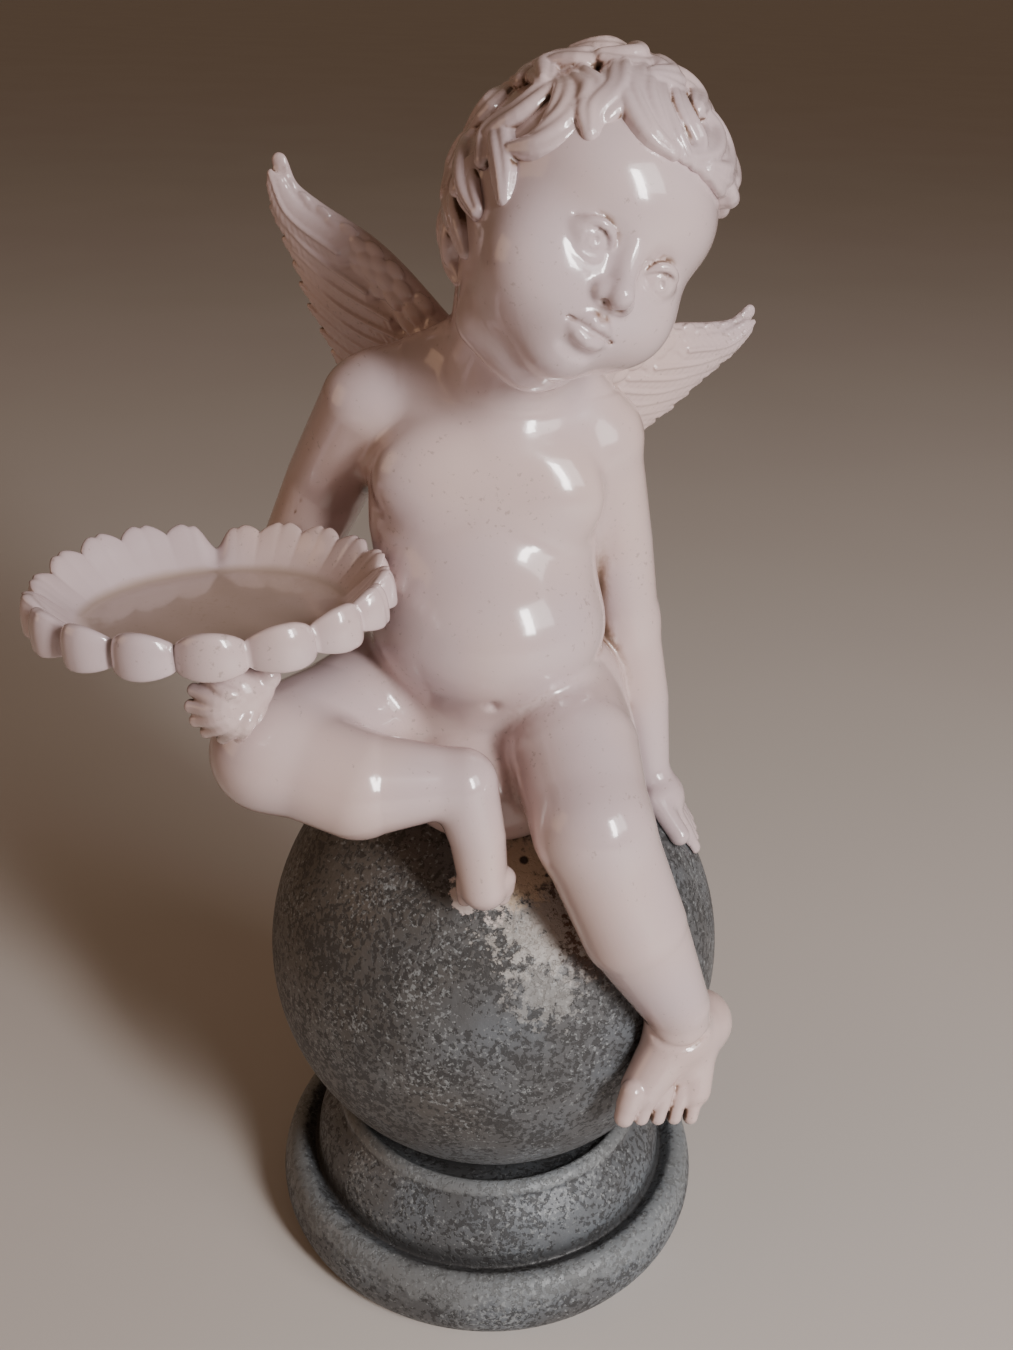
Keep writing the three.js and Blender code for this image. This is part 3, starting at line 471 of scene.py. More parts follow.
@dataclass(frozen=True)
class WingPlace:
    """The plane of a wing: its root, its tip and the low end of its hem."""

    root: Point
    tip: Point
    hem: Point
    spread: float

    def length(self) -> float:
        """Return the distance from root to tip."""
        return float(np.linalg.norm(np.array(self.tip) - np.array(self.root)))

    def axes(self) -> np.ndarray:
        """Return the directions along the wing, across it towards the hem, and out of its front."""
        along = unit(np.array(self.tip, float) - np.array(self.root, float))
        normal = unit(np.cross(along, np.array(self.hem, float) - np.array(self.root, float)))
        across = np.cross(normal, along)
        return np.array([along, across, -normal if normal[1] > 0 else normal])

    def spot(self, u: float, v: float, over: float) -> np.ndarray:
        """Find a point of the wing.

        Args:
            u: Its share of the length along the wing.
            v: Its share of the length across it, towards the hem.
            over: How far it lies in front of the wing's plane.

        Returns:
            The point.
        """
        along, across, normal = self.axes()
        return np.array(self.root) + self.length() * (u * along + v * self.spread * across) + over * normal


@dataclass
class Cherub:
    """The glazed figure: body and face, hair, and wings."""

    head: HeadPlace = field(default_factory=HeadPlace)
    dish: DishPlace = field(default_factory=DishPlace)
    ball_radius: float = BALL_RADIUS
    ball_height: float = BALL_HEIGHT
    ball_gap: float = 0.12
    body_step: float = 0.62
    hair_step: float = 0.46
    wing_step: float = 0.46
    most_triangles: int = 190_000
    brow_locks: tuple = (
        (5.4, ((-70, 74), (-50, 58), (-41, 40), (-44, 26), (-40, 18))),
        (4.6, ((-82, 52), (-62, 42), (-50, 36), (-47, 26), (-56, 20))),
        (5.2, ((-84, 40), (-62, 32), (-53, 18), (-56, 6), (-66, 0))),
        (5.2, ((-92, 44), (-76, 28), (-76, 14), (-86, 2), (-80, -9))),
        (4.8, ((-94, 12), (-78, 4), (-68, -6), (-58, -18))),
        (5.2, ((-118, 14), (-114, -4), (-96, -14), (-84, -22), (-70, -27))),
        (4.8, ((-122, -14), (-110, -30), (-90, -36), (-76, -45))),
        (4.6, ((-128, -28), (-110, -42), (-114, -54), (-102, -62))),
        (5.2, ((-50, 78), (-40, 60), (-33, 42), (-20, 31), (-6, 29))),
        (4.8, ((-20, 80), (-24, 62), (-20, 46), (-8, 36), (2, 31))),
        (4.6, ((4, 78), (-8, 62), (-2, 48), (9, 40), (6, 32))),
        (5.6, ((24, 74), (30, 60), (33, 50), (20, 40), (4, 32))),
        (6.6, ((46, 72), (48, 58), (46, 46), (32, 36), (16, 32))),
        (7.0, ((64, 64), (62, 52), (60, 42), (48, 34), (36, 36))),
        (7.0, ((86, 58), (80, 48), (77, 38), (70, 31), (60, 33))),
    )
    nape_rows: tuple = (
        (9, 86, 56, 0, 6.0),
        (9, 64, 30, 74, 5.4),
        (8, 38, 2, 106, 5.4),
        (8, 10, -26, 112, 5.2),
        (6, -16, -54, 120, 4.6),
    )
    nape_wave: tuple = (1.4, -0.6, 0.7, -0.9)
    nape_swing: float = 10.0
    nape_curl: float = 3.0
    brow_curl: float = 2.5
    lock_lift: float = 1.4
    lock_core: float = 0.76
    left_wing: WingPlace = WingPlace((-14, 16, 182), (-62, 29, 228), (-50, 30, 180), 1.15)
    right_wing: WingPlace = WingPlace((16, 18, 176), (69, 54, 187), (38, 34, 158), 1.0)
    pinhole: tuple[float, float] = (0.40, 0.01)
    pinhole_radius: float = 0.9
    feather_width: float = 0.062
    feather_step: float = 0.8
    covert_columns: int = 17
    wing_band: tuple = (
        (0.02, 0.01, 0.09),
        (0.35, -0.005, 0.085),
        (0.54, 0.0, 0.075),
        (0.75, 0.035, 0.056),
        (0.9, 0.045, 0.042),
        (1.0, 0.0, 0.034),
    )
    feather_lines: tuple = (
        ((0.6, 0.05), (0.83, 0.09), (0.99, 0.04)),
        ((0.42, 0.08), (0.68, 0.13), (0.91, 0.13)),
        ((0.28, 0.09), (0.54, 0.165), (0.8, 0.19)),
        ((0.2, 0.12), (0.44, 0.205), (0.71, 0.235)),
        ((0.14, 0.15), (0.36, 0.24), (0.64, 0.28)),
        ((0.1, 0.18), (0.3, 0.275), (0.56, 0.325)),
        ((0.06, 0.22), (0.24, 0.315), (0.46, 0.365)),
        ((0.04, 0.26), (0.2, 0.36), (0.37, 0.4)),
    )

    def build(self, quick: bool) -> list[bpy.types.Object]:
        """Model the body, the hair and the wings.

        Args:
            quick: True for a coarser clay while trying things.

        Returns:
            The pieces.
        """
        coarse = 1.7 if quick else 1.0
        return [self.body(coarse), self.hair(coarse), self.wings(coarse)]

    def origin(self) -> np.ndarray:
        """Return where the middle of the ball lies in the frame, in millimetres."""
        return np.array([0.0, 0.0, self.ball_height])

    def body(self, coarse: float) -> bpy.types.Object:
        """Model the torso, legs, arms and head as one piece.

        Args:
            coarse: How much coarser than full the clay is.

        Returns:
            The piece.
        """
        clay = Clay((-90, -82, -32), (80, 50, 262), self.body_step * coarse)
        self.add_torso(clay)
        self.add_legs(clay)
        self.add_arms(clay)
        self.add_face(clay)
        self.press_ball(clay)
        self.press_dish(clay)
        return clay.to_mesh("cherub_body", self.origin(), self.most_triangles)

    def add_torso(self, clay: Clay) -> None:
        """Add the torso, its soft forms and its folds."""
        hips = ((-6, -2, 90), (37, 29, 22), 8)
        belly = ((-4, -13, 116), (32, 29, 27), 10)
        ribs = ((-6, -5, 142), (31, 22, 28), 10)
        chest = ((-5, -4, 160), (32, 20, 19), 9)
        right_breast = ((-20, -17, 157), (14, 8, 12), 6)
        left_breast = ((11, -16, 152), (14, 8, 12), 6)
        seat = ((-3, -29, 72), (23, 14, 15.5), 6)
        right_buttock = ((-26, 10, 84), (22, 22, 18), 7)
        left_buttock = ((15, 10, 82), (22, 22, 18), 7)
        for middle, radii, soft in (
            hips, belly, ribs, chest, right_breast, left_breast, seat, right_buttock, left_buttock
        ):
            clay.oval(np.array(middle, float), radii, soft)
        shoulders = trail((-31, 3, 175), (0, 0, 186), (24, 3, 166))
        neck = [np.array([-1.0, -1.0, 178.0]), self.head.spot(0, -18, -6)]
        navel = np.array([-2, -40.2, 101.5])
        clay.rods(shoulders, [11, 14, 11], 7)
        clay.rods(neck, [16, 17], 7)
        clay.oval(navel, (1.8, 4.5, 2.2), 2.0, carve=True)

    def add_legs(self, clay: Clay) -> None:
        """Add the folded leg with its hanging foot, and the long leg down the ball."""
        knee = np.array(self.dish.knee)
        folded_thigh = [*trail((-26, -4, 90), (-44, -24, 88)), knee]
        folded_shin = [knee, *trail((-36, -52, 86), (-10, -51, 87))]
        hanging_foot = trail((-9, -51, 86), (-5, -54, 72), (-3, -56, 58))
        small_toes = trail((-8, -56, 60), (2, -55, 60), (-8, -55, 53), (1.5, -54, 54))
        clay.rods(folded_thigh, [20, 18, 16], 5)
        clay.rods(folded_shin, [14.5, 14.5, 8.5], 3)
        clay.rods(hanging_foot, [9, 7.5, 6.5], 3)
        digits(clay, small_toes, [2.5, 2.6, 2.6, 2.8, 3.5], 0.7)
        long_thigh = trail((15, -6, 89), (20, -34, 87), (25, -54, 76))
        long_shin = trail((25, -54, 76), (37, -58, 48), (51, -56, 20), (53, -55, 9))
        heel = np.array([61, -45, 5.0])
        instep = trail((51, -57, 9), (42.5, -64.5, -3))
        outer_foot = trail((57, -51, 7), (57, -59, -7))
        toes = trail((39.5, -68, -1), (58.5, -60, -6), (37.5, -70.5, -8), (57, -64, -13.5))
        crease = trail((43.5, -61, 14.5), (48, -64.8, 12.6), (54, -64.6, 12), (59.5, -60.5, 13.5))
        clay.rods(long_thigh, [21, 18, 15.5], 5)
        clay.rods(long_shin, [15.5, 14.5, 9.5, 8.6], 3)
        clay.oval(heel, (8.5, 9.5, 9), 4)
        clay.rods(instep, [8, 6], 4)
        clay.rods(outer_foot, [8, 6], 4)
        digits(clay, toes, [3.4, 2.8, 2.7, 2.6, 2.6], 0.6)
        clay.rods(smooth_path(crease, 4), [0.5] * 13, 1.8, carve=True)

    def add_arms(self, clay: Clay) -> None:
        """Add the arm that holds the dish and the arm that rests on the ball."""
        under = self.dish.under
        upper_arm = trail((-37, 2, 171), (-50, 15, 145), (-63, 22, 116))
        forearm = [np.array([-63, 22, 116.0]), under(3, 40, 14), under(1, 26, 12)]
        palm = under(-1, 16, 8)
        fingers = [under(-8, 10, 6), under(5, 6, 6), under(-14, -4, 3), under(5, -12, 3)]
        thumb = [under(8, 22, 8), under(16, 10, 3)]
        clay.rods(upper_arm, [13, 12, 10.5], 5)
        clay.rods(forearm, [10, 8.5, 6.5], 3)
        clay.oval(palm, (10, 12, 5.5), 3)
        digits(clay, fingers, [2.9, 3.1, 3.1, 3], 0.8)
        clay.rods(thumb, [3.4, 3], 1.5)
        upper_arm = trail((24, 2, 161), (31, 8, 132), (36, 12, 106))
        forearm = trail((36, 12, 106), (41, 8, 82), (45, 3, 61))
        back_of_hand = np.array([49, 0, 52.5])
        fingers = trail((53, -5, 50), (52, 8, 50), (60, -3, 37), (60, 14, 36))
        thumb = trail((47, -6, 55), (54, -12, 47))
        clay.rods(upper_arm, [12, 10.5, 9.5], 5)
        clay.rods(forearm, [9.5, 9, 6.5], 3)
        clay.oval(back_of_hand, (7.5, 9, 8.5), 3)
        digits(clay, fingers, [2.8, 3, 3, 2.7], 0.8)
        clay.rods(thumb, [3.6, 3.2], 1.5)

    def add_face(self, clay: Clay) -> None:
        """Add the head and a calm child's face of plain proportions."""
        head = self.head
        axes = head.axes()

        def oval(
            side: float, up: float, front: float, radii: Point, soft: float, carve: bool = False
        ) -> None:
            """Add or carve an oval in the head's own axes."""
            clay.oval(head.spot(side, up, front), radii, soft, axes, carve)

        def rods(rows: list[Point], radii: list[float], soft: float, carve: bool = False) -> None:
            """Add or carve rods through points given in the head's own axes."""
            path = [head.spot(*row) for row in rows]
            path = smooth_path(path, 3) if len(path) > 2 else path
            steps = np.linspace(0, len(radii) - 1, len(path))
            clay.rods(path, list(np.interp(steps, range(len(radii)), radii)), soft, carve=carve)

        brow = (0, 12, 10, (25, 17, 20), 8)
        face = (0, -8, 8, (24, 19, 21.5), 8)
        jaw = (0, -20, 9, (18, 12, 17), 8)
        chin = (0, -25.5, 21, (8, 6.3, 7.2), 6)
        mouth_mound = (0, -15.5, 24, (9.5, 8, 6.6), 6)
        oval(0, head.crown_rise, -4, head.skull, 6)
        for form in (brow, face, jaw, chin, mouth_mound):
            oval(*form)
        under_chin = [(-10, -28, 3), (0, -31, 11), (10, -28, 3)]
        rods(under_chin, [7.5, 7.5, 7.5], 4)
        for hand in (-1, 1):
            cheek = (hand * 13.5, -11, 17.5, (11.5, 11, 10.5), 8)
            ear = (hand * 29.5, -3, -4, (2.6, 6.2, 4.2), 1.2)
            ear_hollow = (hand * 32.0, -2.4, -3, (1.6, 4.0, 2.4), 1.0)
            oval(*cheek)
            oval(*ear)
            oval(*ear_hollow, carve=True)
        middle = np.array(head.middle)
        clay.soften(middle - 42, middle + 42, 2.2)
        for hand in (-1, 1):
            socket = (hand * 10.4, -0.1, 34.6, (8.2, 5.6, 6.6), 3.5)
            eyeball = (hand * 10.4, -0.9, 24.7, (6.3, 5.6, 5.4), 0.8)
            oval(*socket, carve=True)
            oval(*eyeball)
            self.add_lids(clay, hand)
        bridge = [(0, 1.5, 28.3), (0, -4, 31.2), (0, -8.2, 33.6)]
        nostrils = [(-3.4, -9.4, 31.4), (3.4, -9.4, 31.4)]
        rods(bridge, [2.3, 2.5, 3.3], 3)
        rods(nostrils, [2.3, 2.3], 1.6)
        for hand in (-1, 1):
            nostril_hollow = (hand * 2.2, -11.2, 33.2, (1.1, 0.9, 1.4), 0.5)
            oval(*nostril_hollow, carve=True)
        upper_lip = ((6.2, -17.4, 28.6), (3.0, -16.4, 30.6), (1.2, -15.9, 31.3), (0, -16.2, 31.3))
        lower_lip = ((5.4, -18.6, 28.6), (2.8, -19.7, 30.0), (0, -20.1, 30.5))
        parting = ((6.8, -17.7, 29.2), (3, -17.9, 31.6), (0, -18.1, 32.4))
        for half, thick, soft, carve in (
            (upper_lip, (0.7, 1.5, 1.75, 1.6), 1.2, False),
            (lower_lip, (0.8, 1.8, 2.1), 1.2, False),
            (parting, (0.45, 0.55, 0.6), 0.6, True),
        ):
            rows = [mirrored(row, -1) for row in half] + list(half[-2::-1])
            rods(rows, [*thick, *thick[-2::-1]], soft, carve)
        lip_groove = [(0, -12.8, 32.9), (0, -14.6, 33.0)]
        chin_crease = [(-3.5, -23.6, 29.4), (0, -23.9, 29.9), (3.5, -23.6, 29.4)]
        rods(lip_groove, [0.7, 0.7], 1.4, carve=True)
        rods(chin_crease, [0.6, 0.8, 0.6], 2.2, carve=True)

    def add_lids(self, clay: Clay, hand: int) -> None:
        """Add an eye's lids, the crease above them, and its ringed iris.

        Args:
            clay: The clay that they join.
            hand: 1 for the figure's left eye and -1 for its right.
        """
        head = self.head
        upper = (
            (15.9, -1.2, 25.2),
            (13.3, 1.5, 28.3),
            (10.3, 2.5, 29.7),
            (7.2, 1.6, 29.7),
            (4.9, -1.5, 28.3),
        )
        lower = (
            (15.5, -2.0, 25.4),
            (12.9, -4.2, 27.8),
            (10.3, -4.9, 28.6),
            (7.6, -4.3, 28.9),
            (5.2, -2.3, 28.2),
        )
        crease = ((15.8, 1.2, 26.2), (13.3, 3.9, 28.9), (10.3, 4.9, 30.0), (7.0, 4.1, 30.2))
        for rows, thick, soft, carve in (
            (upper, (0.7, 1.2, 1.4, 1.2, 0.7), 0.35, False),
            (lower, (0.5, 0.95, 1.05, 0.95, 0.5), 0.5, False),
            (crease, (0.3, 0.5, 0.5, 0.3), 0.9, True),
        ):
            path = smooth_path([head.spot(*mirrored(row, hand)) for row in rows], 4)
            radii = np.interp(np.linspace(0, len(thick) - 1, len(path)), range(len(thick)), thick)
            clay.rods(path, list(radii), soft, carve=carve)
        iris = ring_points(head.spot(hand * 10.2, -1.1, 29.9), head.axes()[2], 2.5, 14)
        clay.rods(iris, [0.5] * len(iris), 0.25, carve=True)
        clay.oval(head.spot(hand * 10.2, -1.1, 30.5), (1.2, 1.2, 1.3), 0.3, head.axes(), carve=True)

    def press_ball(self, clay: Clay) -> None:
        """Press the seat and the legs against the ball."""
        reach = self.ball_radius + 3
        where = clay.window(np.full(3, -reach), np.full(3, reach))
        x, y, z = clay.coordinates(where, np.zeros(3))
        ball = np.sqrt(x * x + y * y + z * z) - (self.ball_radius + self.ball_gap)
        clay.merge(where, ball, 0, carve=True)

    def press_dish(self, clay: Clay) -> None:
        """Keep the hand and the arm out of the dish's bowl."""
        middle = self.dish.middle()
        turned = self.dish.turned()
        where = clay.window(middle - 50, middle + 50)
        x, y, z = clay.coordinates(where, middle)
        along, back, up = (x * turned[0, k] + y * turned[1, k] + z * turned[2, k] for k in range(3))
        oval = (np.sqrt((along / 46) ** 2 + (back / 36) ** 2) - 1) * 36
        clay.merge(where, np.maximum(oval, -0.7 * self.dish.wall - up), 0, carve=True)

    def lock(self, clay: Clay, path: list[Point], thick: float, curl: float, seed: int) -> None:
        """Add a lock of hair made of strands that lie side by side and meet at its tip.

        Args:
            clay: The clay that it joins.
            path: Its turns and heights over the skull.
            thick: Its half width in its middle.
            curl: How far its tip lifts.
            seed: A number of its own, which sets how its strands twist.
        """
        last = len(path) - 1
        knots = []
        for i, (turn, height) in enumerate(path):
            lift = self.lock_lift + curl * (i / last) ** 2 - self.head.closeness(turn, height)
            knots.append(self.head.over_skull(turn, height, lift))
        line = smooth_path(knots, 5)
        core = np.array(self.head.middle)
        count = len(line)
        strands = 3 + seed % 2
        waists = np.sin(math.pi * (0.14 + 0.8 * np.arange(count) / (count - 1)))
        bodies = list(thick * (0.34 + 0.74 * waists))
        clay.rods(line, [self.lock_core * body for body in bodies], 0.4)
        for k in range(strands):
            share = 2 * k / (strands - 1) - 1
            spots, radii = [], []
            for i, spot in enumerate(line):
                t = i / (count - 1)
                ahead = unit(line[min(i + 1, count - 1)] - line[max(i - 1, 0)])
                away = unit(spot - core)
                side = unit(np.cross(ahead, away))
                turn = 0.95 * share + 0.32 * math.sin(4.2 * t + 1.7 * seed)
                reach = bodies[i] * (0.66 + 0.05 * math.sin(7.0 * t + 2.1 * k + seed))
                spots.append(spot + reach * (math.sin(turn) * side + (math.cos(turn) - 0.25) * away))
                share_of_body = 0.40 if strands == 3 else 0.34
                radii.append(bodies[i] * share_of_body * (1 + 0.12 * math.cos(2.3 * seed + 1.9 * k)))
            clay.rods(spots, radii, 0.25)

    def hair(self, coarse: float) -> bpy.types.Object:
        """Model the hair: a close cap under locks that run from the crown.

        Args:
            coarse: How much coarser than full the clay is.

        Returns:
            The piece.
        """
        middle = np.array(self.head.middle)
        clay = Clay(tuple(middle - 46), tuple(middle + 47), self.hair_step * coarse)
        clay.oval(self.head.spot(2, 8, -7.5), (29.8, 29.8, 32.3), 1.5, self.head.axes())
        seed = 0
        for row, (count, top, foot, opening, thick) in enumerate(self.nape_rows):
            for i in range(count):
                turn = opening + (360 - 2 * opening) * (i + 0.5) / count
                swing = self.nape_swing if row % 2 == 0 else -self.nape_swing
                steps = len(self.nape_wave) - 1
                path = [
                    (turn + swing * wave, top + (foot - top) * k / steps)
                    for k, wave in enumerate(self.nape_wave)
                ]
                seed += 1
                self.lock(clay, path, thick, self.nape_curl, seed)
        for thick, path in self.brow_locks:
            seed += 1
            self.lock(clay, list(path), thick, self.brow_curl, seed)
        return clay.to_mesh("cherub_hair", self.origin(), self.most_triangles)

    def wings(self, coarse: float) -> bpy.types.Object:
        """Model both wings.

        Args:
            coarse: How much coarser than full the clay is.

        Returns:
            The piece.
        """
        clay = Clay((-84, 2, 146), (82, 68, 240), self.wing_step * coarse)
        for place, root in (
            (self.left_wing, ((-14, 10, 172), (-20, 20, 182))),
            (self.right_wing, ((10, 10, 166), (20, 20, 176))),
        ):
            self.wing(clay, place)
            clay.rods(trail(*root), [9, 7], 5)
        hole = self.right_wing.spot(*self.pinhole, 0)
        through = 6 * self.right_wing.axes()[2]
        clay.rods([hole - through, hole + through], [self.pinhole_radius] * 2, 0.3, carve=True)
        return clay.to_mesh("cherub_wings", self.origin(), self.most_triangles)

    def wing(self, clay: Clay, place: WingPlace) -> None:
        """Add a wing: long feathers that sweep along it, over a thin sheet, under a scaly band.

        Args:
            clay: The clay that it joins.
            place: Where the wing lies.
        """
        normal = place.axes()[2]
        length = place.length()
        clay.rods([place.spot(0.1, 0.16, -1.5), place.spot(0.5, 0.18, -1.5)], [12, 9], 1, normal, 0.2)
        last = len(self.feather_lines) - 1
        for i, line in enumerate(self.feather_lines):
            over = (last - i - 3) * self.feather_step
            path = smooth_path([place.spot(u, v, over) for u, v in line], 7)
            share = np.linspace(0, 1, len(path))
            taper = np.interp(share, (0, 0.25, 0.6, 0.85, 1), (0.9, 1, 0.98, 0.74, 0.3))
            width = self.feather_width * length * taper
            clay.rods(path, list(width), 0.3, normal, 0.40, barbs=0.16)
            shaft = [spot + 0.37 * half * normal for spot, half in zip(path, width)]
            clay.rods(shaft, list(np.linspace(0.8, 0.4, len(shaft))), 0.5)
        knots = [place.spot(u, v, 0.8) for u, v, _ in self.wing_band]
        band = smooth_path(knots, 5)
        places = np.linspace(0, len(knots) - 1, len(band))
        halves = np.interp(places, range(len(knots)), [half * length for _, _, half in self.wing_band])
        clay.rods(band, list(halves), 1.5, normal, 0.55)
        self.coverts(clay, place, band, halves)

    def coverts(
        self, clay: Clay, place: WingPlace, band: list[np.ndarray], halves: np.ndarray
    ) -> None:
        """Lay small rounded feathers like scales over the band.

        Args:
            clay: The clay that they join.
            place: Where the wing lies.
            band: The band's middle line.
            halves: Its half width at each point.
        """
        normal = place.axes()[2]
        count = self.covert_columns
        for k in range(count - 1, 0, -1):
            at = k / count * (len(band) - 1)
            index = min(int(at), len(band) - 2)
            share = at - index
            spot = band[index] + share * (band[index + 1] - band[index])
            half = halves[index] + share * (halves[index + 1] - halves[index])
            ahead = unit(band[index + 1] - band[index])
            side = unit(np.cross(normal, ahead))
            for row in (-0.62, 0.0, 0.62):
                shift = row + (0.31 if k % 2 else 0.0)
                if abs(shift) > 0.8:
                    continue
                middle = spot + side * (shift * half) + normal * (0.50 * half * math.sqrt(1 - shift * shift))
                size = half * 0.42
                clay.oval(middle, (size * 1.5, size, size * 0.42), 0.25, np.array([ahead, side, normal]))


@dataclass
class Graph:
    """Short calls for building a node tree."""

    tree: bpy.types.NodeTree

    def node(self, kind: str, inputs: dict | None = None, **settings: object) -> bpy.types.Node:
        """Add a node.

        Args:
            kind: Its Blender type.
            inputs: Values or output sockets for its inputs, by name or number.
            **settings: Its own properties.

        Returns:
            The node.
        """
        node = self.tree.nodes.new(kind)
        for name, value in settings.items():
            setattr(node, name, value)
        for name, value in (inputs or {}).items():
            socket = node.inputs[name]
            if isinstance(value, bpy.types.NodeSocket):
                self.tree.links.new(value, socket)
            else:
                socket.default_value = value
        return node

    def math(self, operation: str, *values: object) -> bpy.types.NodeSocket:
        """Add a math node on one to three values and return its result."""
        return self.node("ShaderNodeMath", dict(enumerate(values)), operation=operation).outputs[0]

    def ramp(self, value: bpy.types.NodeSocket, low: object, high: object) -> bpy.types.NodeSocket:
        """Return 0 where the value is at or under low and 1 at or over high, smooth between."""
        ends = {"Value": value, "From Min": low, "From Max": high}
        span = self.node("ShaderNodeMapRange", ends, interpolation_type="SMOOTHSTEP")
        return span.outputs["Result"]

    def mix(self, share: object, first: object, second: object) -> bpy.types.NodeSocket:
        """Mix two colours.

        Args:
            share: How much of the second, a number or a socket.
            first: A colour or a socket.
            second: A colour or a socket.

        Returns:
            The mixed colour.
        """
        node = self.node("ShaderNodeMix", data_type="RGBA")
        for index, value in ((0, share), (6, first), (7, second)):
            if isinstance(value, bpy.types.NodeSocket):
                self.tree.links.new(value, node.inputs[index])
            else:
                node.inputs[index].default_value = value
        return node.outputs[2]

    def noise(
        self, where: bpy.types.NodeSocket, scale: object, detail: float = 3.0, rough: float = 0.55
    ) -> bpy.types.NodeSocket:
        """Return noise at points.

        Args:
            where: The points.
            scale: Waves in a metre.
            detail: How many finer layers it has.
            rough: How strong they are.

        Returns:
            The noise's value, about 0.5 on average.
        """
        values = {"Vector": where, "Scale": scale, "Detail": detail, "Roughness": rough}
        return self.node("ShaderNodeTexNoise", values).outputs["Fac"]

    def mark(self, name: str) -> bpy.types.NodeSocket:
        """Return a number that the mesh's points carry."""
        return self.node("ShaderNodeAttribute", attribute_name=name).outputs["Fac"]

    def surface(self, values: dict[str, object]) -> None:
        """End a material with a Principled shader of the given inputs."""
        shader = self.node("ShaderNodeBsdfPrincipled", values)
        self.node("ShaderNodeOutputMaterial", {"Surface": shader.outputs["BSDF"]})


def colour(red: float, green: float, blue: float) -> tuple[float, float, float, float]:
    """Return a linear colour with full alpha."""
    return (red, green, blue, 1.0)


def start_group(
    name: str, numbers: dict[str, float], masks: tuple[str, ...]
) -> tuple[Graph, bpy.types.Node]:
    """Start a shader group that reads points and numbers and puts out masks.

    Args:
        name: Its name.
        numbers: Its number inputs, with what they are unless a material sets them.
        masks: Its outputs.

    Returns:
        The graph and its input node.
    """
    tree = bpy.data.node_groups.new(name, "ShaderNodeTree")
    tree.interface.new_socket("Vector", in_out="INPUT", socket_type="NodeSocketVector")
    for label, value in numbers.items():
        socket = tree.interface.new_socket(label, in_out="INPUT", socket_type="NodeSocketFloat")
        socket.default_value = value
    for label in masks:
        tree.interface.new_socket(label, in_out="OUTPUT", socket_type="NodeSocketFloat")
    graph = Graph(tree)
    return graph, graph.node("NodeGroupInput")


def start_material(name: str) -> tuple[bpy.types.Material, Graph, bpy.types.NodeSocket]:
    """Start a material and return it, its empty graph and the object's own coordinates."""
    material = bpy.data.materials.new(name)
    material.use_nodes = True
    material.node_tree.nodes.clear()
    graph = Graph(material.node_tree)
    return material, graph, graph.node("ShaderNodeTexCoord").outputs["Object"]


def speckle_group() -> bpy.types.NodeTree:
    """Build the group that scatters specks: thresholded noise, thick in patches.

    Returns:
        The group, with inputs Vector, Scale, Share and Patch Scale, and output Mask.
    """
    numbers = {"Scale": 400.0, "Share": 0.5, "Patch Scale": 40.0}
    g, given = start_group("scattered_specks", numbers, ("Mask",))
    where = given.outputs["Vector"]
    fine = g.noise(where, given.outputs["Scale"], 4.0, 0.62)
    patch = g.noise(where, given.outputs["Patch Scale"], 2.0, 0.5)
    lean = g.math("MULTIPLY_ADD", patch, 0.35, -0.175)
    level = g.math("ADD", fine, lean)
    edge = g.math("SUBTRACT", 1.0, given.outputs["Share"])
    low = g.math("MULTIPLY_ADD", edge, 0.36, 0.30)
    high = g.math("ADD", low, 0.05)
    span = g.node("ShaderNodeMapRange", {"Value": level, "From Min": low, "From Max": high})
    g.node("NodeGroupOutput", {"Mask": span.outputs["Result"]})
    return g.tree


def fold_group() -> bpy.types.NodeTree:
    """Build the group that finds folds and hollows from the mesh's own mark; its masks set painted shade.

    Returns:
        The group, with inputs Vector, Start and End, and outputs Mask and Deep.
    """
    g, given = start_group("folds_and_hollows", {"Start": 0.35, "End": 0.9}, ("Mask", "Deep"))
    uneven = g.noise(given.outputs["Vector"], 160.0)
    level = g.math("ADD", g.mark("hollow"), g.math("MULTIPLY_ADD", uneven, 0.3, -0.15))
    mask = g.ramp(level, given.outputs["Start"], given.outputs["End"])
    g.node("NodeGroupOutput", {"Mask": mask, "Deep": g.math("POWER", mask, 3.0)})
    return g.tree


class Slot(Enum):
    """The record's material slots."""

    BODY = "white_glaze"
    DISH = "dish_glaze"
    BALL = "stone_effect"


@dataclass(frozen=True)
class Specks:
    """Specks of one size: waves in a metre, their share, their patches' scale and how they tell."""

    scale: float
    share: float
    patch: float
    strength: float

    def mask(self, g: Graph, where: bpy.types.NodeSocket, group: bpy.types.NodeTree) -> bpy.types.NodeSocket:
        """Return the mask of the specks.

        Args:
            g: The material's graph.
            where: The object's own coordinates.
            group: The shared group of specks.

        Returns:
            1 on a speck and 0 beside it.
        """
        values = {"Vector": where, "Scale": self.scale, "Share": self.share, "Patch Scale": self.patch}
        return g.node("ShaderNodeGroup", values, node_tree=group).outputs["Mask"]


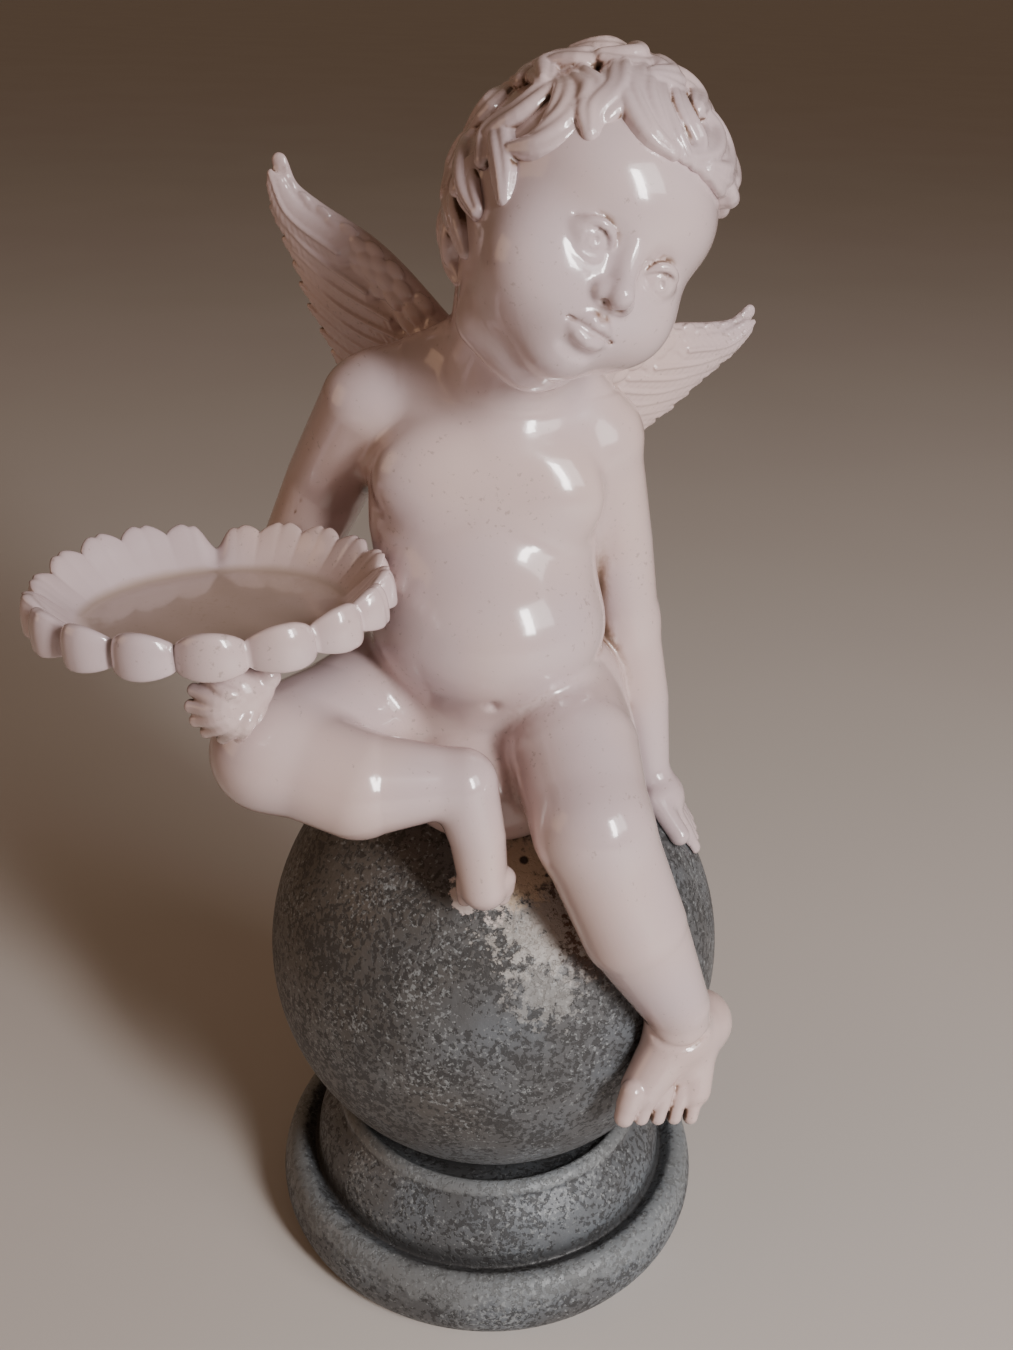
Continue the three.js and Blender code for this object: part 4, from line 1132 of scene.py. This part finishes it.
@dataclass(frozen=True)
class GlazeFinish:
    """Glossy white glaze over cast resin, with painted warm brown shade in the folds."""

    slot: Slot
    light: tuple = colour(0.63, 0.475, 0.445)
    cool: tuple = colour(0.565, 0.45, 0.465)
    # Painted shade colours: warm brown in the folds, darkest in the deepest hollows.
    shade: tuple = colour(0.33, 0.205, 0.145)
    deepest_shade: tuple = colour(0.13, 0.075, 0.05)
    speck: tuple = colour(0.32, 0.25, 0.22)
    film: tuple = colour(0.42, 0.315, 0.26)
    specks: Specks = Specks(620.0, 0.02, 25.0, 0.5)
    roughness: float = 0.17
    fold_start: float = 0.30
    fold_end: float = 0.86
    floor_share: float = 0.0

    def material(self, groups: dict[str, bpy.types.NodeTree]) -> bpy.types.Material:
        """Build the glaze.

        Args:
            groups: The shared shader groups by name.

        Returns:
            The material.
        """
        material, g, where = start_material("glaze_" + self.slot.value)
        ends = {"Vector": where, "Start": self.fold_start, "End": self.fold_end}
        folds = g.node("ShaderNodeGroup", ends, node_tree=groups["folds"])
        drift = g.ramp(g.noise(where, 16.0, 2.0), 0.35, 0.65)
        base = g.mix(drift, self.light, self.cool)
        # Painted shade from the hollow mark, darkest where it is deepest.
        base = g.mix(folds.outputs["Mask"], base, self.shade)
        base = g.mix(folds.outputs["Deep"], base, self.deepest_shade)
        specks = self.specks.mask(g, where, groups["specks"])
        base = g.mix(g.math("MULTIPLY", specks, self.specks.strength), base, self.speck)
        if self.floor_share > 0:
            ragged = g.math("MULTIPLY", g.noise(where, 45.0), 0.5)
            film = g.ramp(g.math("ADD", g.mark("floor"), ragged), 0.6, 1.4)
            base = g.mix(g.math("MULTIPLY", film, self.floor_share), base, self.film)
        rough = g.math("MULTIPLY_ADD", g.noise(where, 90.0, 3.0), 0.10, self.roughness - 0.05)
        rough = g.math("ADD", rough, g.math("MULTIPLY", folds.outputs["Mask"], 0.25))
        wave = g.noise(where, 70.0, 1.0)
        pores = g.math("MULTIPLY", g.noise(where, 900.0, 2.0), 0.12)
        height = g.math("ADD", wave, pores)
        bump = g.node("ShaderNodeBump", {"Height": height, "Strength": 0.10, "Distance": 0.0016})
        g.surface({
            "Base Color": base,
            "Roughness": rough,
            "Normal": bump.outputs["Normal"],
            "IOR": 1.5,
            "Coat Weight": 0.7,
            "Coat Roughness": 0.045,
        })
        return material


@dataclass(frozen=True)
class Stain:
    """A mark on the stone effect, in metres from the ball's middle."""

    place: Point
    radius: float
    tint: tuple
    strength: float
    ragged: float
    edge: float

    def over(
        self,
        g: Graph,
        where: bpy.types.NodeSocket,
        ragged: bpy.types.NodeSocket,
        base: bpy.types.NodeSocket,
    ) -> bpy.types.NodeSocket:
        """Lay the mark over a colour.

        Args:
            g: The material's graph.
            where: The object's own coordinates.
            ragged: Fine noise for its ragged edge.
            base: The colour under it.

        Returns:
            The colour with the mark.
        """
        place = (self.place[0], self.place[1], self.place[2] + BALL_HEIGHT * MM)
        ends = {0: where, 1: place}
        away = g.node("ShaderNodeVectorMath", ends, operation="DISTANCE").outputs["Value"]
        share = g.math("DIVIDE", away, self.radius)
        uneven = g.math("MULTIPLY_ADD", ragged, self.ragged * 2, -self.ragged)
        level = g.ramp(g.math("ADD", share, uneven), 1.0 - self.edge, 1.0 + self.edge)
        mask = g.math("SUBTRACT", 1.0, level)
        return g.mix(g.math("MULTIPLY", mask, self.strength), base, self.tint)


@dataclass(frozen=True)
class StoneFinish:
    """Sponged grey stone effect: dark spots, pale specks, stains and bare ridges, with painted shade in the
    grooves and on the upper left.
    """

    slot: Slot = Slot.BALL
    grey: tuple = colour(0.085, 0.087, 0.09)
    blue: tuple = colour(0.13, 0.145, 0.16)
    # Painted warm shade colour for the ball's upper left side.
    warm_shade: tuple = colour(0.085, 0.066, 0.046)
    dark: tuple = colour(0.022, 0.021, 0.021)
    pale: tuple = colour(0.30, 0.32, 0.325)
    spots: Specks = Specks(560.0, 0.43, 60.0, 0.7)
    flecks: Specks = Specks(820.0, 0.2, 50.0, 0.6)
    # The side of the ball that gets painted warm shade.
    shaded_side: Point = (-0.72, -0.10, 0.35)
    wear: float = 0.34
    stains: tuple = (
        Stain((0.0250, -0.0478, 0.0440), 0.014, colour(0.12, 0.055, 0.028), 0.85, 1.1, 0.5),
        Stain((0.0125, -0.0532, 0.0437), 0.011, colour(0.52, 0.49, 0.45), 0.55, 3.2, 0.15),
        Stain((0.0142, -0.0616, 0.0301), 0.009, colour(0.42, 0.41, 0.39), 0.4, 3.0, 0.15),
        Stain((-0.0010, -0.0470, 0.0518), 0.0075, colour(0.66, 0.58, 0.54), 0.9, 2.2, 0.2),
        Stain((-0.0081, -0.0487, 0.0496), 0.0045, colour(0.66, 0.57, 0.54), 1.0, 1.3, 0.12),
        Stain((0.0050, -0.0430, 0.0550), 0.0095, colour(0.56, 0.44, 0.31), 0.95, 1.4, 0.3),
        Stain((0.0077, -0.0409, 0.0563), 0.0012, colour(0.03, 0.02, 0.015), 1.0, 0.4, 0.3),
    )

    def material(self, groups: dict[str, bpy.types.NodeTree]) -> bpy.types.Material:
        """Build the stone effect.

        Args:
            groups: The shared shader groups by name.

        Returns:
            The material.
        """
        material, g, where = start_material("sponged_" + self.slot.value)
        clouds = g.ramp(g.noise(where, 28.0, 3.0), 0.36, 0.64)
        base = g.mix(clouds, self.grey, self.blue)
        # Painted warm shade, browner towards the ball's upper left.
        sides = {0: where, 1: self.shaded_side}
        lean = g.node("ShaderNodeVectorMath", sides, operation="DOT_PRODUCT").outputs["Value"]
        uneven = g.math("MULTIPLY_ADD", g.noise(where, 22.0), 1.1, -0.55)
        warm = g.ramp(g.math("ADD", g.math("MULTIPLY", lean, 9.0), uneven), 0.2, 1.0)
        base = g.mix(g.math("MULTIPLY", warm, 0.75), base, self.warm_shade)
        spots = self.spots.mask(g, where, groups["specks"])
        base = g.mix(g.math("MULTIPLY", spots, self.spots.strength), base, self.dark)
        flecks = self.flecks.mask(g, where, groups["specks"])
        base = g.mix(g.math("MULTIPLY", flecks, self.flecks.strength), base, self.pale)
        rubbed = g.math("MULTIPLY_ADD", g.noise(where, 210.0, 4.0, 0.65), 1.5, -0.75)
        worn = g.ramp(g.math("ADD", g.mark("ridge"), rubbed), 0.45, 0.8)
        base = g.mix(g.math("MULTIPLY", worn, self.wear), base, self.pale)
        # Painted shade in the grooves, under the foot and where the ball sits in its seat.
        ends = {"Vector": where, "Start": 0.3, "End": 0.95}
        folds = g.node("ShaderNodeGroup", ends, node_tree=groups["folds"])
        base = g.mix(g.math("MULTIPLY", folds.outputs["Mask"], 0.8), base, self.dark)
        ragged = g.noise(where, 360.0, 5.0, 0.7)
        for stain in self.stains:
            base = stain.over(g, where, ragged, base)
        rough = g.math("MULTIPLY_ADD", g.noise(where, 130.0, 3.0), 0.22, 0.34)
        rough = g.math("ADD", rough, g.math("MULTIPLY", spots, 0.12))
        grain = g.math("MULTIPLY", g.noise(where, 240.0, 4.0, 0.6), 0.9)
        height = g.math("SUBTRACT", grain, g.math("MULTIPLY", spots, 0.45))
        bump = g.node("ShaderNodeBump", {"Height": height, "Strength": 0.55, "Distance": 0.0009})
        g.surface({"Base Color": base, "Roughness": rough, "Normal": bump.outputs["Normal"], "IOR": 1.5})
        return material


def run_nodes(piece: bpy.types.Object, tree: bpy.types.NodeTree, values: dict[str, object]) -> None:
    """Run a geometry tree on a piece and keep the result as plain mesh.

    Args:
        piece: The piece, whose mesh goes into the tree.
        tree: The tree.
        values: Its inputs by name.
    """
    modifier = piece.modifiers.new(tree.name, "NODES")
    modifier.node_group = tree
    for item in tree.interface.items_tree:
        if item.item_type == "SOCKET" and item.in_out == "INPUT" and item.name in values:
            modifier[item.identifier] = values[item.name]
    bake(piece)


def geometry_tree(name: str, inputs: tuple[tuple[str, str], ...]) -> tuple[Graph, bpy.types.Node]:
    """Start a geometry tree.

    Args:
        name: Its name.
        inputs: The name and the socket type of each input after the geometry.

    Returns:
        The graph and its input node.
    """
    tree = bpy.data.node_groups.new(name, "GeometryNodeTree")
    tree.interface.new_socket("Geometry", in_out="INPUT", socket_type="NodeSocketGeometry")
    for label, kind in inputs:
        tree.interface.new_socket(label, in_out="INPUT", socket_type=kind)
    tree.interface.new_socket("Geometry", in_out="OUTPUT", socket_type="NodeSocketGeometry")
    graph = Graph(tree)
    return graph, graph.node("NodeGroupInput")


def close_tree(
    g: Graph, geometry: bpy.types.NodeSocket, material: bpy.types.NodeSocket
) -> bpy.types.NodeTree:
    """End a geometry tree: smooth shading, real instances and the material.

    Args:
        g: The graph.
        geometry: What it has made.
        material: The material input.

    Returns:
        The tree.
    """
    smooth = g.node("GeometryNodeSetShadeSmooth", {"Geometry": geometry, "Shade Smooth": True})
    real = g.node("GeometryNodeRealizeInstances", {"Geometry": smooth.outputs["Geometry"]})
    dressed = g.node("GeometryNodeSetMaterial", {"Geometry": real.outputs["Geometry"], "Material": material})
    g.node("NodeGroupOutput", {"Geometry": dressed.outputs["Geometry"]})
    return g.tree


@dataclass
class Pedestal:
    """The ball on its stepped foot, turned as one."""

    ball_radius: float = BALL_RADIUS
    ball_height: float = BALL_HEIGHT
    foot_radius: float = 70.0
    ring_height: float = 21.0
    tier_radius: float = 58.0
    tier_height: float = 22.0
    rim_radius: float = 50.0
    seat_depth: float = 5.0
    sides: int = 180
    ball_steps: int = 90
    core: float = 0.1

    def profile(self) -> list[tuple[float, float, float, float]]:
        """Return the turned outline: radius, height, how far it is a ridge and how far a hollow that gets
        painted shade.
        """
        foot, ring, tier, rim = self.foot_radius, self.ring_height, self.tier_radius, self.rim_radius
        level = ring + self.tier_height
        seat = level - self.seat_depth
        neck = math.sqrt(self.ball_radius**2 - (self.ball_height - seat) ** 2)
        knots = [
            (foot - 3.2, 0.0, 0.0, 0.6),
            (foot - 0.7, ring * 0.22, 0.1, 0.1),
            (foot, ring * 0.52, 0.35, 0.0),
            (foot - 1.7, ring * 0.84, 0.9, 0.0),
            (foot - 4.0, ring * 0.97, 1.0, 0.0),
            (foot - 7.0, ring, 0.6, 0.0),
            (tier + 2.4, ring - 1.7, 0.1, 0.6),
            (tier + 0.9, ring - 1.9, 0.0, 1.0),
            (tier + 0.1, ring + 0.8, 0.0, 0.7),
            (tier - 0.5, ring + self.tier_height * 0.25, 0.2, 0.1),
            (tier - 2.6, ring + self.tier_height * 0.52, 0.2, 0.0),
            (rim + 2.0, level - 6.0, 0.2, 0.2),
            (rim + 0.5, level - 4.2, 0.3, 0.3),
            (rim + 0.2, level - 2.0, 0.9, 0.0),
            (rim - 1.4, level - 0.4, 1.0, 0.0),
            (rim - 3.4, level - 0.1, 0.8, 0.0),
            (rim - 6.2, level - 2.4, 0.1, 0.5),
            (neck + 1.0, seat - 0.2, 0.0, 1.0),
        ]
        path = smooth_path([np.array(knot) for knot in knots], 6)
        rows = [(0.0, 0.0, 0.0, 0.6)] + [tuple(row) for row in path]
        start = math.asin(neck / self.ball_radius)
        for i in range(self.ball_steps + 1):
            turn = start + (math.pi - start) * i / self.ball_steps
            # Painted shade on the ball just above its seat.
            low = max(0.0, 1 - (turn - start) / 0.14)
            height = self.ball_height - self.ball_radius * math.cos(turn)
            rows.append((self.ball_radius * math.sin(turn), height, 0.0, low))
        return rows

    def lathe(self) -> bpy.types.NodeTree:
        """Build the tree that turns an outline round the upright axis."""
        inputs = (
            ("Sides", "NodeSocketInt"),
            ("Core", "NodeSocketFloat"),
            ("Material", "NodeSocketMaterial"),
        )
        g, given = geometry_tree("turned_outline", inputs)
        outline = g.node("GeometryNodeMeshToCurve", {"Mesh": given.outputs["Geometry"]})
        circle = g.node(
            "GeometryNodeCurvePrimitiveCircle",
            {"Resolution": given.outputs["Sides"], "Radius": given.outputs["Core"]},
        )
        swept = g.node(
            "GeometryNodeCurveToMesh",
            {"Curve": circle.outputs["Curve"], "Profile Curve": outline.outputs["Curve"]},
        )
        welded = {"Geometry": swept.outputs["Mesh"], "Distance": WELD}
        merged = g.node("GeometryNodeMergeByDistance", welded)
        return close_tree(g, merged.outputs["Geometry"], given.outputs["Material"])

    def build(self, material: bpy.types.Material) -> bpy.types.Object:
        """Turn the ball and its foot.

        Args:
            material: The stone effect.

        Returns:
            The piece.
        """
        rows = self.profile()
        mesh = bpy.data.meshes.new("ball_and_foot")
        spots = [(-(radius - self.core) * MM, -height * MM, 0.0) for radius, height, _, _ in rows]
        mesh.from_pydata(spots, [(i, i + 1) for i in range(len(rows) - 1)], [])
        for column, name in ((2, "ridge"), (3, "hollow")):
            store(mesh, name, [row[column] for row in rows])
        piece = link_mesh("ball_and_foot", mesh)
        values = {"Sides": self.sides, "Core": self.core * MM, "Material": material}
        run_nodes(piece, self.lathe(), values)
        return piece


@dataclass
class ShellDish:
    """The shell dish: an oval floor, a fluted wall, a rim of lobes, and the shell's hinge."""

    place: DishPlace = field(default_factory=DishPlace)
    ball_height: float = BALL_HEIGHT
    length: float = 94.0
    width: float = 71.0
    rim_height: float = 8.5
    lobes: int = 19
    crowding: float = 0.12
    roundness: float = 0.75
    seam: float = 0.65
    groove_depth: float = 0.3
    groove_sharpness: float = 4.0
    front_fullness: float = 0.9
    back_draw: float = 0.03
    back_rise: float = 0.32
    back_lean: float = 0.24
    notch_lobe: float = 5.5
    notch_depth: float = 0.55
    notch_width: float = 0.07
    bulge_turn: float = 5.25
    bulge_width: float = 0.6
    bulge_share: float = 0.075
    umbo_place: Point = (8.5, -28.8, -10.0)
    fan_root: Point = (15.6, -27.5, -9.8)
    fan_edge: tuple = (
        (4.0, -29.5, -4.2),
        (0.5, -30.5, -7.4),
        (-0.6, -31.5, -11.2),
        (0.2, -32.0, -14.8),
        (2.2, -31.5, -18.2),
        (5.6, -30.5, -20.6),
        (9.5, -30.0, -20.8),
    )
    hinge_triangles: int = 40_000
    columns: int = 19 * 20
    rows: tuple = (
        (0.0, 0.0, 0.0, 0.0, 0.0, 0.0),
        (0.5, 0.0, 0.0, 0.0, 0.0, 0.0),
        (0.7, 0.0, 0.0, 0.0, 0.0, 0.0),
        (0.8, 0.36, 0.0, 0.01, 0.08, 0.0),
        (0.89, 0.82, 0.0, 0.022, 0.2, 0.0),
        (0.935, 0.99, 0.0, 0.038, 0.26, 0.0),
        (0.975, 0.95, 0.0, 0.052, 0.24, 0.04),
        (1.002, 0.66, 0.0, 0.057, 0.12, 0.12),
        (1.006, 0.2, 0.0, 0.055, -0.06, 0.30),
        (0.975, 0.16, 0.0, 0.045, -0.08, 0.24),
        (0.9, 0.3, 0.0, 0.02, 0.1, 0.0),
        (0.81, 0.0, 0.35, 0.0, 0.0, 0.0),
        (0.66, 0.0, 1.0, 0.0, 0.0, 0.0),
        (0.4, 0.0, 1.0, 0.0, 0.0, 0.0),
        (0.0, 0.0, 1.0, 0.0, 0.0, 0.0),
    )

    def turn_at(self, phase: float) -> float:
        """Return the turn at a phase: lobes are wide at the front and crowd together at the back."""
        turn = phase
        for _ in range(12):
            turn = phase + self.crowding * (math.cos(turn) - 1)
        return turn

    def bare_shell(self) -> bpy.types.Object:
        """Lay out the dish before its lobes rise, with each point's turn, swell and lift."""
        path = smooth_path([np.array(row) for row in self.rows], 4)
        names = ("turn", "phase", "groove", "swell", "lift", "floor", "hollow")
        marks = {name: [] for name in names}
        notch_turn = self.turn_at(2 * math.pi * self.notch_lobe / self.lobes)
        spots = []
        for share, rise, drop, swell, lift, hang in path:
            for i in range(self.columns):
                phase = 2 * math.pi * i / self.columns
                turn = self.turn_at(phase)
                front = (1 - math.sin(turn)) / 2
                from_notch = (turn - notch_turn) / self.notch_width
                notch = 1 - self.notch_depth * math.exp(-(from_notch**2))
                from_bulge = (turn - self.bulge_turn) / self.bulge_width
                bulge = 1 + self.bulge_share * math.exp(-(from_bulge**2))
                draw = self.back_draw * (front - 1) if share > 0.97 else 0.0
                reach = (share + draw) * bulge
                shoulders = abs(math.sin(2 * turn)) * (1 - front)
                raised = shoulders * (self.back_rise - self.back_lean * math.cos(turn))
                rim = self.rim_height * (1 + raised) * notch
                fullness = 1 + self.front_fullness * front**2
                on_floor = drop < 0.1 and share < 0.85
                spots.append((
                    reach * self.length / 2 * math.cos(turn),
                    reach * self.width / 2 * math.sin(turn),
                    (rise - hang * front) * rim - drop * self.place.wall,
                ))
                groove = self.groove_depth * (1 - front)
                floor = max(0.0, 1 - max(0.0, rise) * 4) if on_floor else 0.0
                # Painted shade under the dish: its underside is marked as a hollow.
                hollow = 0.75 if drop > 0.1 else 0.0
                values = (turn, phase, groove, swell * fullness * bulge, lift * rim * fullness, floor, hollow)
                for name, value in zip(names, values):
                    marks[name].append(value)
        faces = []
        for r in range(len(path) - 1):
            for i in range(self.columns):
                a, b = r * self.columns + i, r * self.columns + (i + 1) % self.columns
                faces.append((a, a + self.columns, b + self.columns, b))
        mesh = bpy.data.meshes.new("shell_bowl")
        mesh.from_pydata([tuple(v * MM for v in spot) for spot in spots], [], faces)
        for name, values in marks.items():
            store(mesh, name, values)
        return link_mesh("shell_bowl", mesh)

    def lobe_tree(self) -> bpy.types.NodeTree:
        """Build the tree that swells the rim into lobes round the dish."""
        g, given = geometry_tree(
            "rim_lobes",
            (
                ("Lobes", "NodeSocketInt"),
                ("Length", "NodeSocketFloat"),
                ("Width", "NodeSocketFloat"),
                ("Roundness", "NodeSocketFloat"),
                ("Seam", "NodeSocketFloat"),
                ("Groove Sharpness", "NodeSocketFloat"),
                ("Material", "NodeSocketMaterial"),
            ),
        )

        def mark(name: str) -> bpy.types.NodeSocket:
            """Return one of the points' own numbers."""
            named = g.node("GeometryNodeInputNamedAttribute", {"Name": name}, data_type="FLOAT")
            return named.outputs["Attribute"]

        turn = mark("turn")
        phase = g.math("MULTIPLY", g.math("MULTIPLY", mark("phase"), given.outputs["Lobes"]), 0.5)
        rounded = g.math("POWER", g.math("ABSOLUTE", g.math("COSINE", phase)), given.outputs["Roundness"])
        lobe = g.math("SUBTRACT", rounded, given.outputs["Seam"])
        away = g.math("MULTIPLY", g.math("SINE", phase), given.outputs["Groove Sharpness"])
        middle = g.math("POWER", away, 2.0)
        groove = g.math("MULTIPLY", mark("groove"), g.math("EXPONENT", g.math("MULTIPLY", middle, -1.0)))
        lobe = g.math("SUBTRACT", lobe, groove)
        out = g.math("MULTIPLY", mark("swell"), lobe)
        along = g.math("MULTIPLY", g.math("MULTIPLY", out, given.outputs["Length"]), g.math("COSINE", turn))
        back = g.math("MULTIPLY", g.math("MULTIPLY", out, given.outputs["Width"]), g.math("SINE", turn))
        up = g.math("MULTIPLY", g.math("MULTIPLY", mark("lift"), lobe), MM)
        offset = g.node("ShaderNodeCombineXYZ", {"X": along, "Y": back, "Z": up})
        shift = {"Geometry": given.outputs["Geometry"], "Offset": offset.outputs["Vector"]}
        moved = g.node("GeometryNodeSetPosition", shift)
        welded = {"Geometry": moved.outputs["Geometry"], "Distance": WELD}
        merged = g.node("GeometryNodeMergeByDistance", welded)
        return close_tree(g, merged.outputs["Geometry"], given.outputs["Material"])

    def hinge(self) -> bpy.types.Object:
        """Model the shell's hinge, a small ribbed fan under the front rim."""
        clay = Clay((-16, -44, -28), (36, -12, 6), 0.4)
        clay.oval(np.array(self.umbo_place) + np.array([0.5, 0.2, -1.0]), (8.6, 6.8, 9.2), 0)
        root = np.array(self.fan_root)
        radii = list(np.interp(np.linspace(0, 1, 13), (0, 0.4, 1), (1.3, 2.2, 1.8)))
        for edge in self.fan_edge:
            end = np.array(edge)
            mid = 0.5 * (root + end) + np.array([0.0, -5.6, 0.0])
            clay.rods(smooth_path([root, mid, end], 6), radii, 0.5)
        for spot in (self.fan_root, (17.5, -26.5, -6.5)):
            clay.oval(np.array(spot), (3.4, 3.0, 3.4), 1.2)
        return clay.to_mesh("shell_hinge", np.zeros(3), self.hinge_triangles)

    def put(self, piece: bpy.types.Object) -> None:
        """Lean a piece of the dish and set it in its place."""
        turned = Matrix(self.place.turned().tolist()).to_4x4()
        middle = Vector(self.place.middle() + np.array([0, 0, self.ball_height])) * MM
        piece.data.transform(Matrix.Translation(middle) @ turned)

    def build(self, material: bpy.types.Material) -> list[bpy.types.Object]:
        """Build the dish and its hinge.

        Args:
            material: The dish's glaze.

        Returns:
            The two pieces.
        """
        bowl = self.bare_shell()
        run_nodes(
            bowl,
            self.lobe_tree(),
            {
                "Lobes": self.lobes,
                "Length": self.length / 2 * MM,
                "Width": self.width / 2 * MM,
                "Roundness": self.roundness,
                "Seam": self.seam,
                "Groove Sharpness": self.groove_sharpness,
                "Material": material,
            },
        )
        hinge = self.hinge()
        hinge.data.materials.append(material)
        for piece in (bowl, hinge):
            self.put(piece)
        return [bowl, hinge]


@dataclass(frozen=True)
class SoftLight:
    """A soft rectangular light: its place, what it looks at, its size, watts and colour."""

    name: str
    place: Point
    aim: Point
    size: tuple[float, float]
    power: float
    tint: Point

    def hang(self) -> None:
        """Put the light into the scene."""
        lamp = bpy.data.lights.new(self.name, "AREA")
        lamp.shape = "RECTANGLE"
        lamp.size, lamp.size_y = self.size
        lamp.energy = self.power
        lamp.color = self.tint
        light = bpy.data.objects.new(self.name, lamp)
        light.location = self.place
        towards = Vector(self.aim) - Vector(self.place)
        light.rotation_euler = towards.to_track_quat("-Z", "Y").to_euler()
        bpy.context.collection.objects.link(light)


@dataclass
class Studio:
    """The floor, the soft lights and the camera at the photograph's angle."""

    camera_place: Point = (0.0, -0.361333, 0.377748)
    camera_right: Point = (0.99958118, 0.00964437, 0.02728466)
    camera_up: Point = (-0.0286956, 0.45235315, 0.89137713)
    lens: float = 24.889
    sensor: float = 24.0
    floor_half: float = 60.0
    world_colour: tuple = colour(0.72, 0.50, 0.35)
    world_strength: float = 0.18
    backdrop_share: float = 1.25
    floor_tones: tuple = (colour(0.60, 0.555, 0.52), colour(0.62, 0.58, 0.545))
    window: SoftLight = SoftLight(
        "window_right", (0.58, -0.74, 0.62), (0.02, 0.0, 0.2), (0.15, 0.50), 10.0, (1.0, 0.965, 0.955)
    )
    soft: SoftLight = SoftLight(
        "soft_right", (1.25, -1.05, 1.05), (0.0, 0.0, 0.18), (0.9, 0.9), 13.0, (1.0, 0.955, 0.94)
    )
    warm: SoftLight = SoftLight(
        "warm_left", (-1.5, -0.3, 0.7), (0.0, 0.0, 0.18), (0.9, 0.9), 2.8, (1.0, 0.62, 0.38)
    )

    def build(self) -> None:
        """Set out the floor, the lights, the world and the camera."""
        self.lay_floor()
        self.set_world()
        for light in (self.window, self.soft, self.warm):
            light.hang()
        self.set_camera()

    def lay_floor(self) -> None:
        """Lay the plain pale floor."""
        half = self.floor_half
        corners = [(-half, -half, 0), (half, -half, 0), (half, half, 0), (-half, half, 0)]
        mesh = bpy.data.meshes.new("studio_floor")
        mesh.from_pydata(corners, [], [(0, 1, 2, 3)])
        material, g, where = start_material("pale_floor")
        tone = g.mix(g.ramp(g.noise(where, 3.0, 2.0), 0.3, 0.7), *self.floor_tones)
        g.surface({"Base Color": tone, "Roughness": 0.6})
        mesh.materials.append(material)
        link_mesh("studio_floor", mesh)

    def set_world(self) -> None:
        """Surround everything with an even pale light."""
        world = bpy.data.worlds.new("studio")
        world.use_nodes = True
        g = Graph(world.node_tree)
        world.node_tree.nodes.clear()
        seen = g.node("ShaderNodeLightPath").outputs["Is Camera Ray"]
        share = g.math("MULTIPLY_ADD", seen, self.backdrop_share - 1.0, 1.0)
        strength = g.math("MULTIPLY", share, self.world_strength)
        ground = g.node("ShaderNodeBackground", {"Color": self.world_colour, "Strength": strength})
        g.node("ShaderNodeOutputWorld", {"Surface": ground.outputs["Background"]})
        bpy.context.scene.world = world

    def set_camera(self) -> None:
        """Put the camera where the photograph was taken."""
        view = bpy.data.cameras.new("photo_view")
        view.sensor_fit = "VERTICAL"
        view.sensor_height = self.sensor
        view.lens = self.lens
        view.clip_start = 0.01
        camera = bpy.data.objects.new("photo_view", view)
        right, up = Vector(self.camera_right), Vector(self.camera_up)
        away = right.cross(up)
        turn = Matrix((right, up, away)).transposed().to_4x4()
        camera.matrix_world = Matrix.Translation(Vector(self.camera_place)) @ turn
        bpy.context.collection.objects.link(camera)
        bpy.context.scene.camera = camera


def place_pieces(pieces: list[bpy.types.Object], node: str, slot: Slot) -> None:
    """Say what each piece rides on and which CAD node it stands for.

    Args:
        pieces: The pieces.
        node: The CAD node that they replace.
        slot: Not used.
    """
    for piece in pieces:
        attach(piece, "root")
        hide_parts(node)
        log.info("%s stands for %s with %d faces", piece.name, node, len(piece.data.polygons))


def main() -> None:
    """Build the statuette and its studio."""
    logging.basicConfig(level=logging.INFO, format="%(message)s")
    groups = {"specks": speckle_group(), "folds": fold_group()}
    body_glaze = GlazeFinish(Slot.BODY).material(groups)
    dish_glaze = GlazeFinish(Slot.DISH, floor_share=0.85).material(groups)
    stone = StoneFinish().material(groups)
    figure = Cherub().build(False)
    for piece in figure:
        piece.data.materials.append(body_glaze)
    place_pieces(figure, "cherub", Slot.BODY)
    place_pieces(ShellDish().build(dish_glaze), "shell_dish", Slot.DISH)
    place_pieces([Pedestal().build(stone)], "ball_pedestal", Slot.BALL)
    Studio().build()


if __name__ == "__main__":
    main()
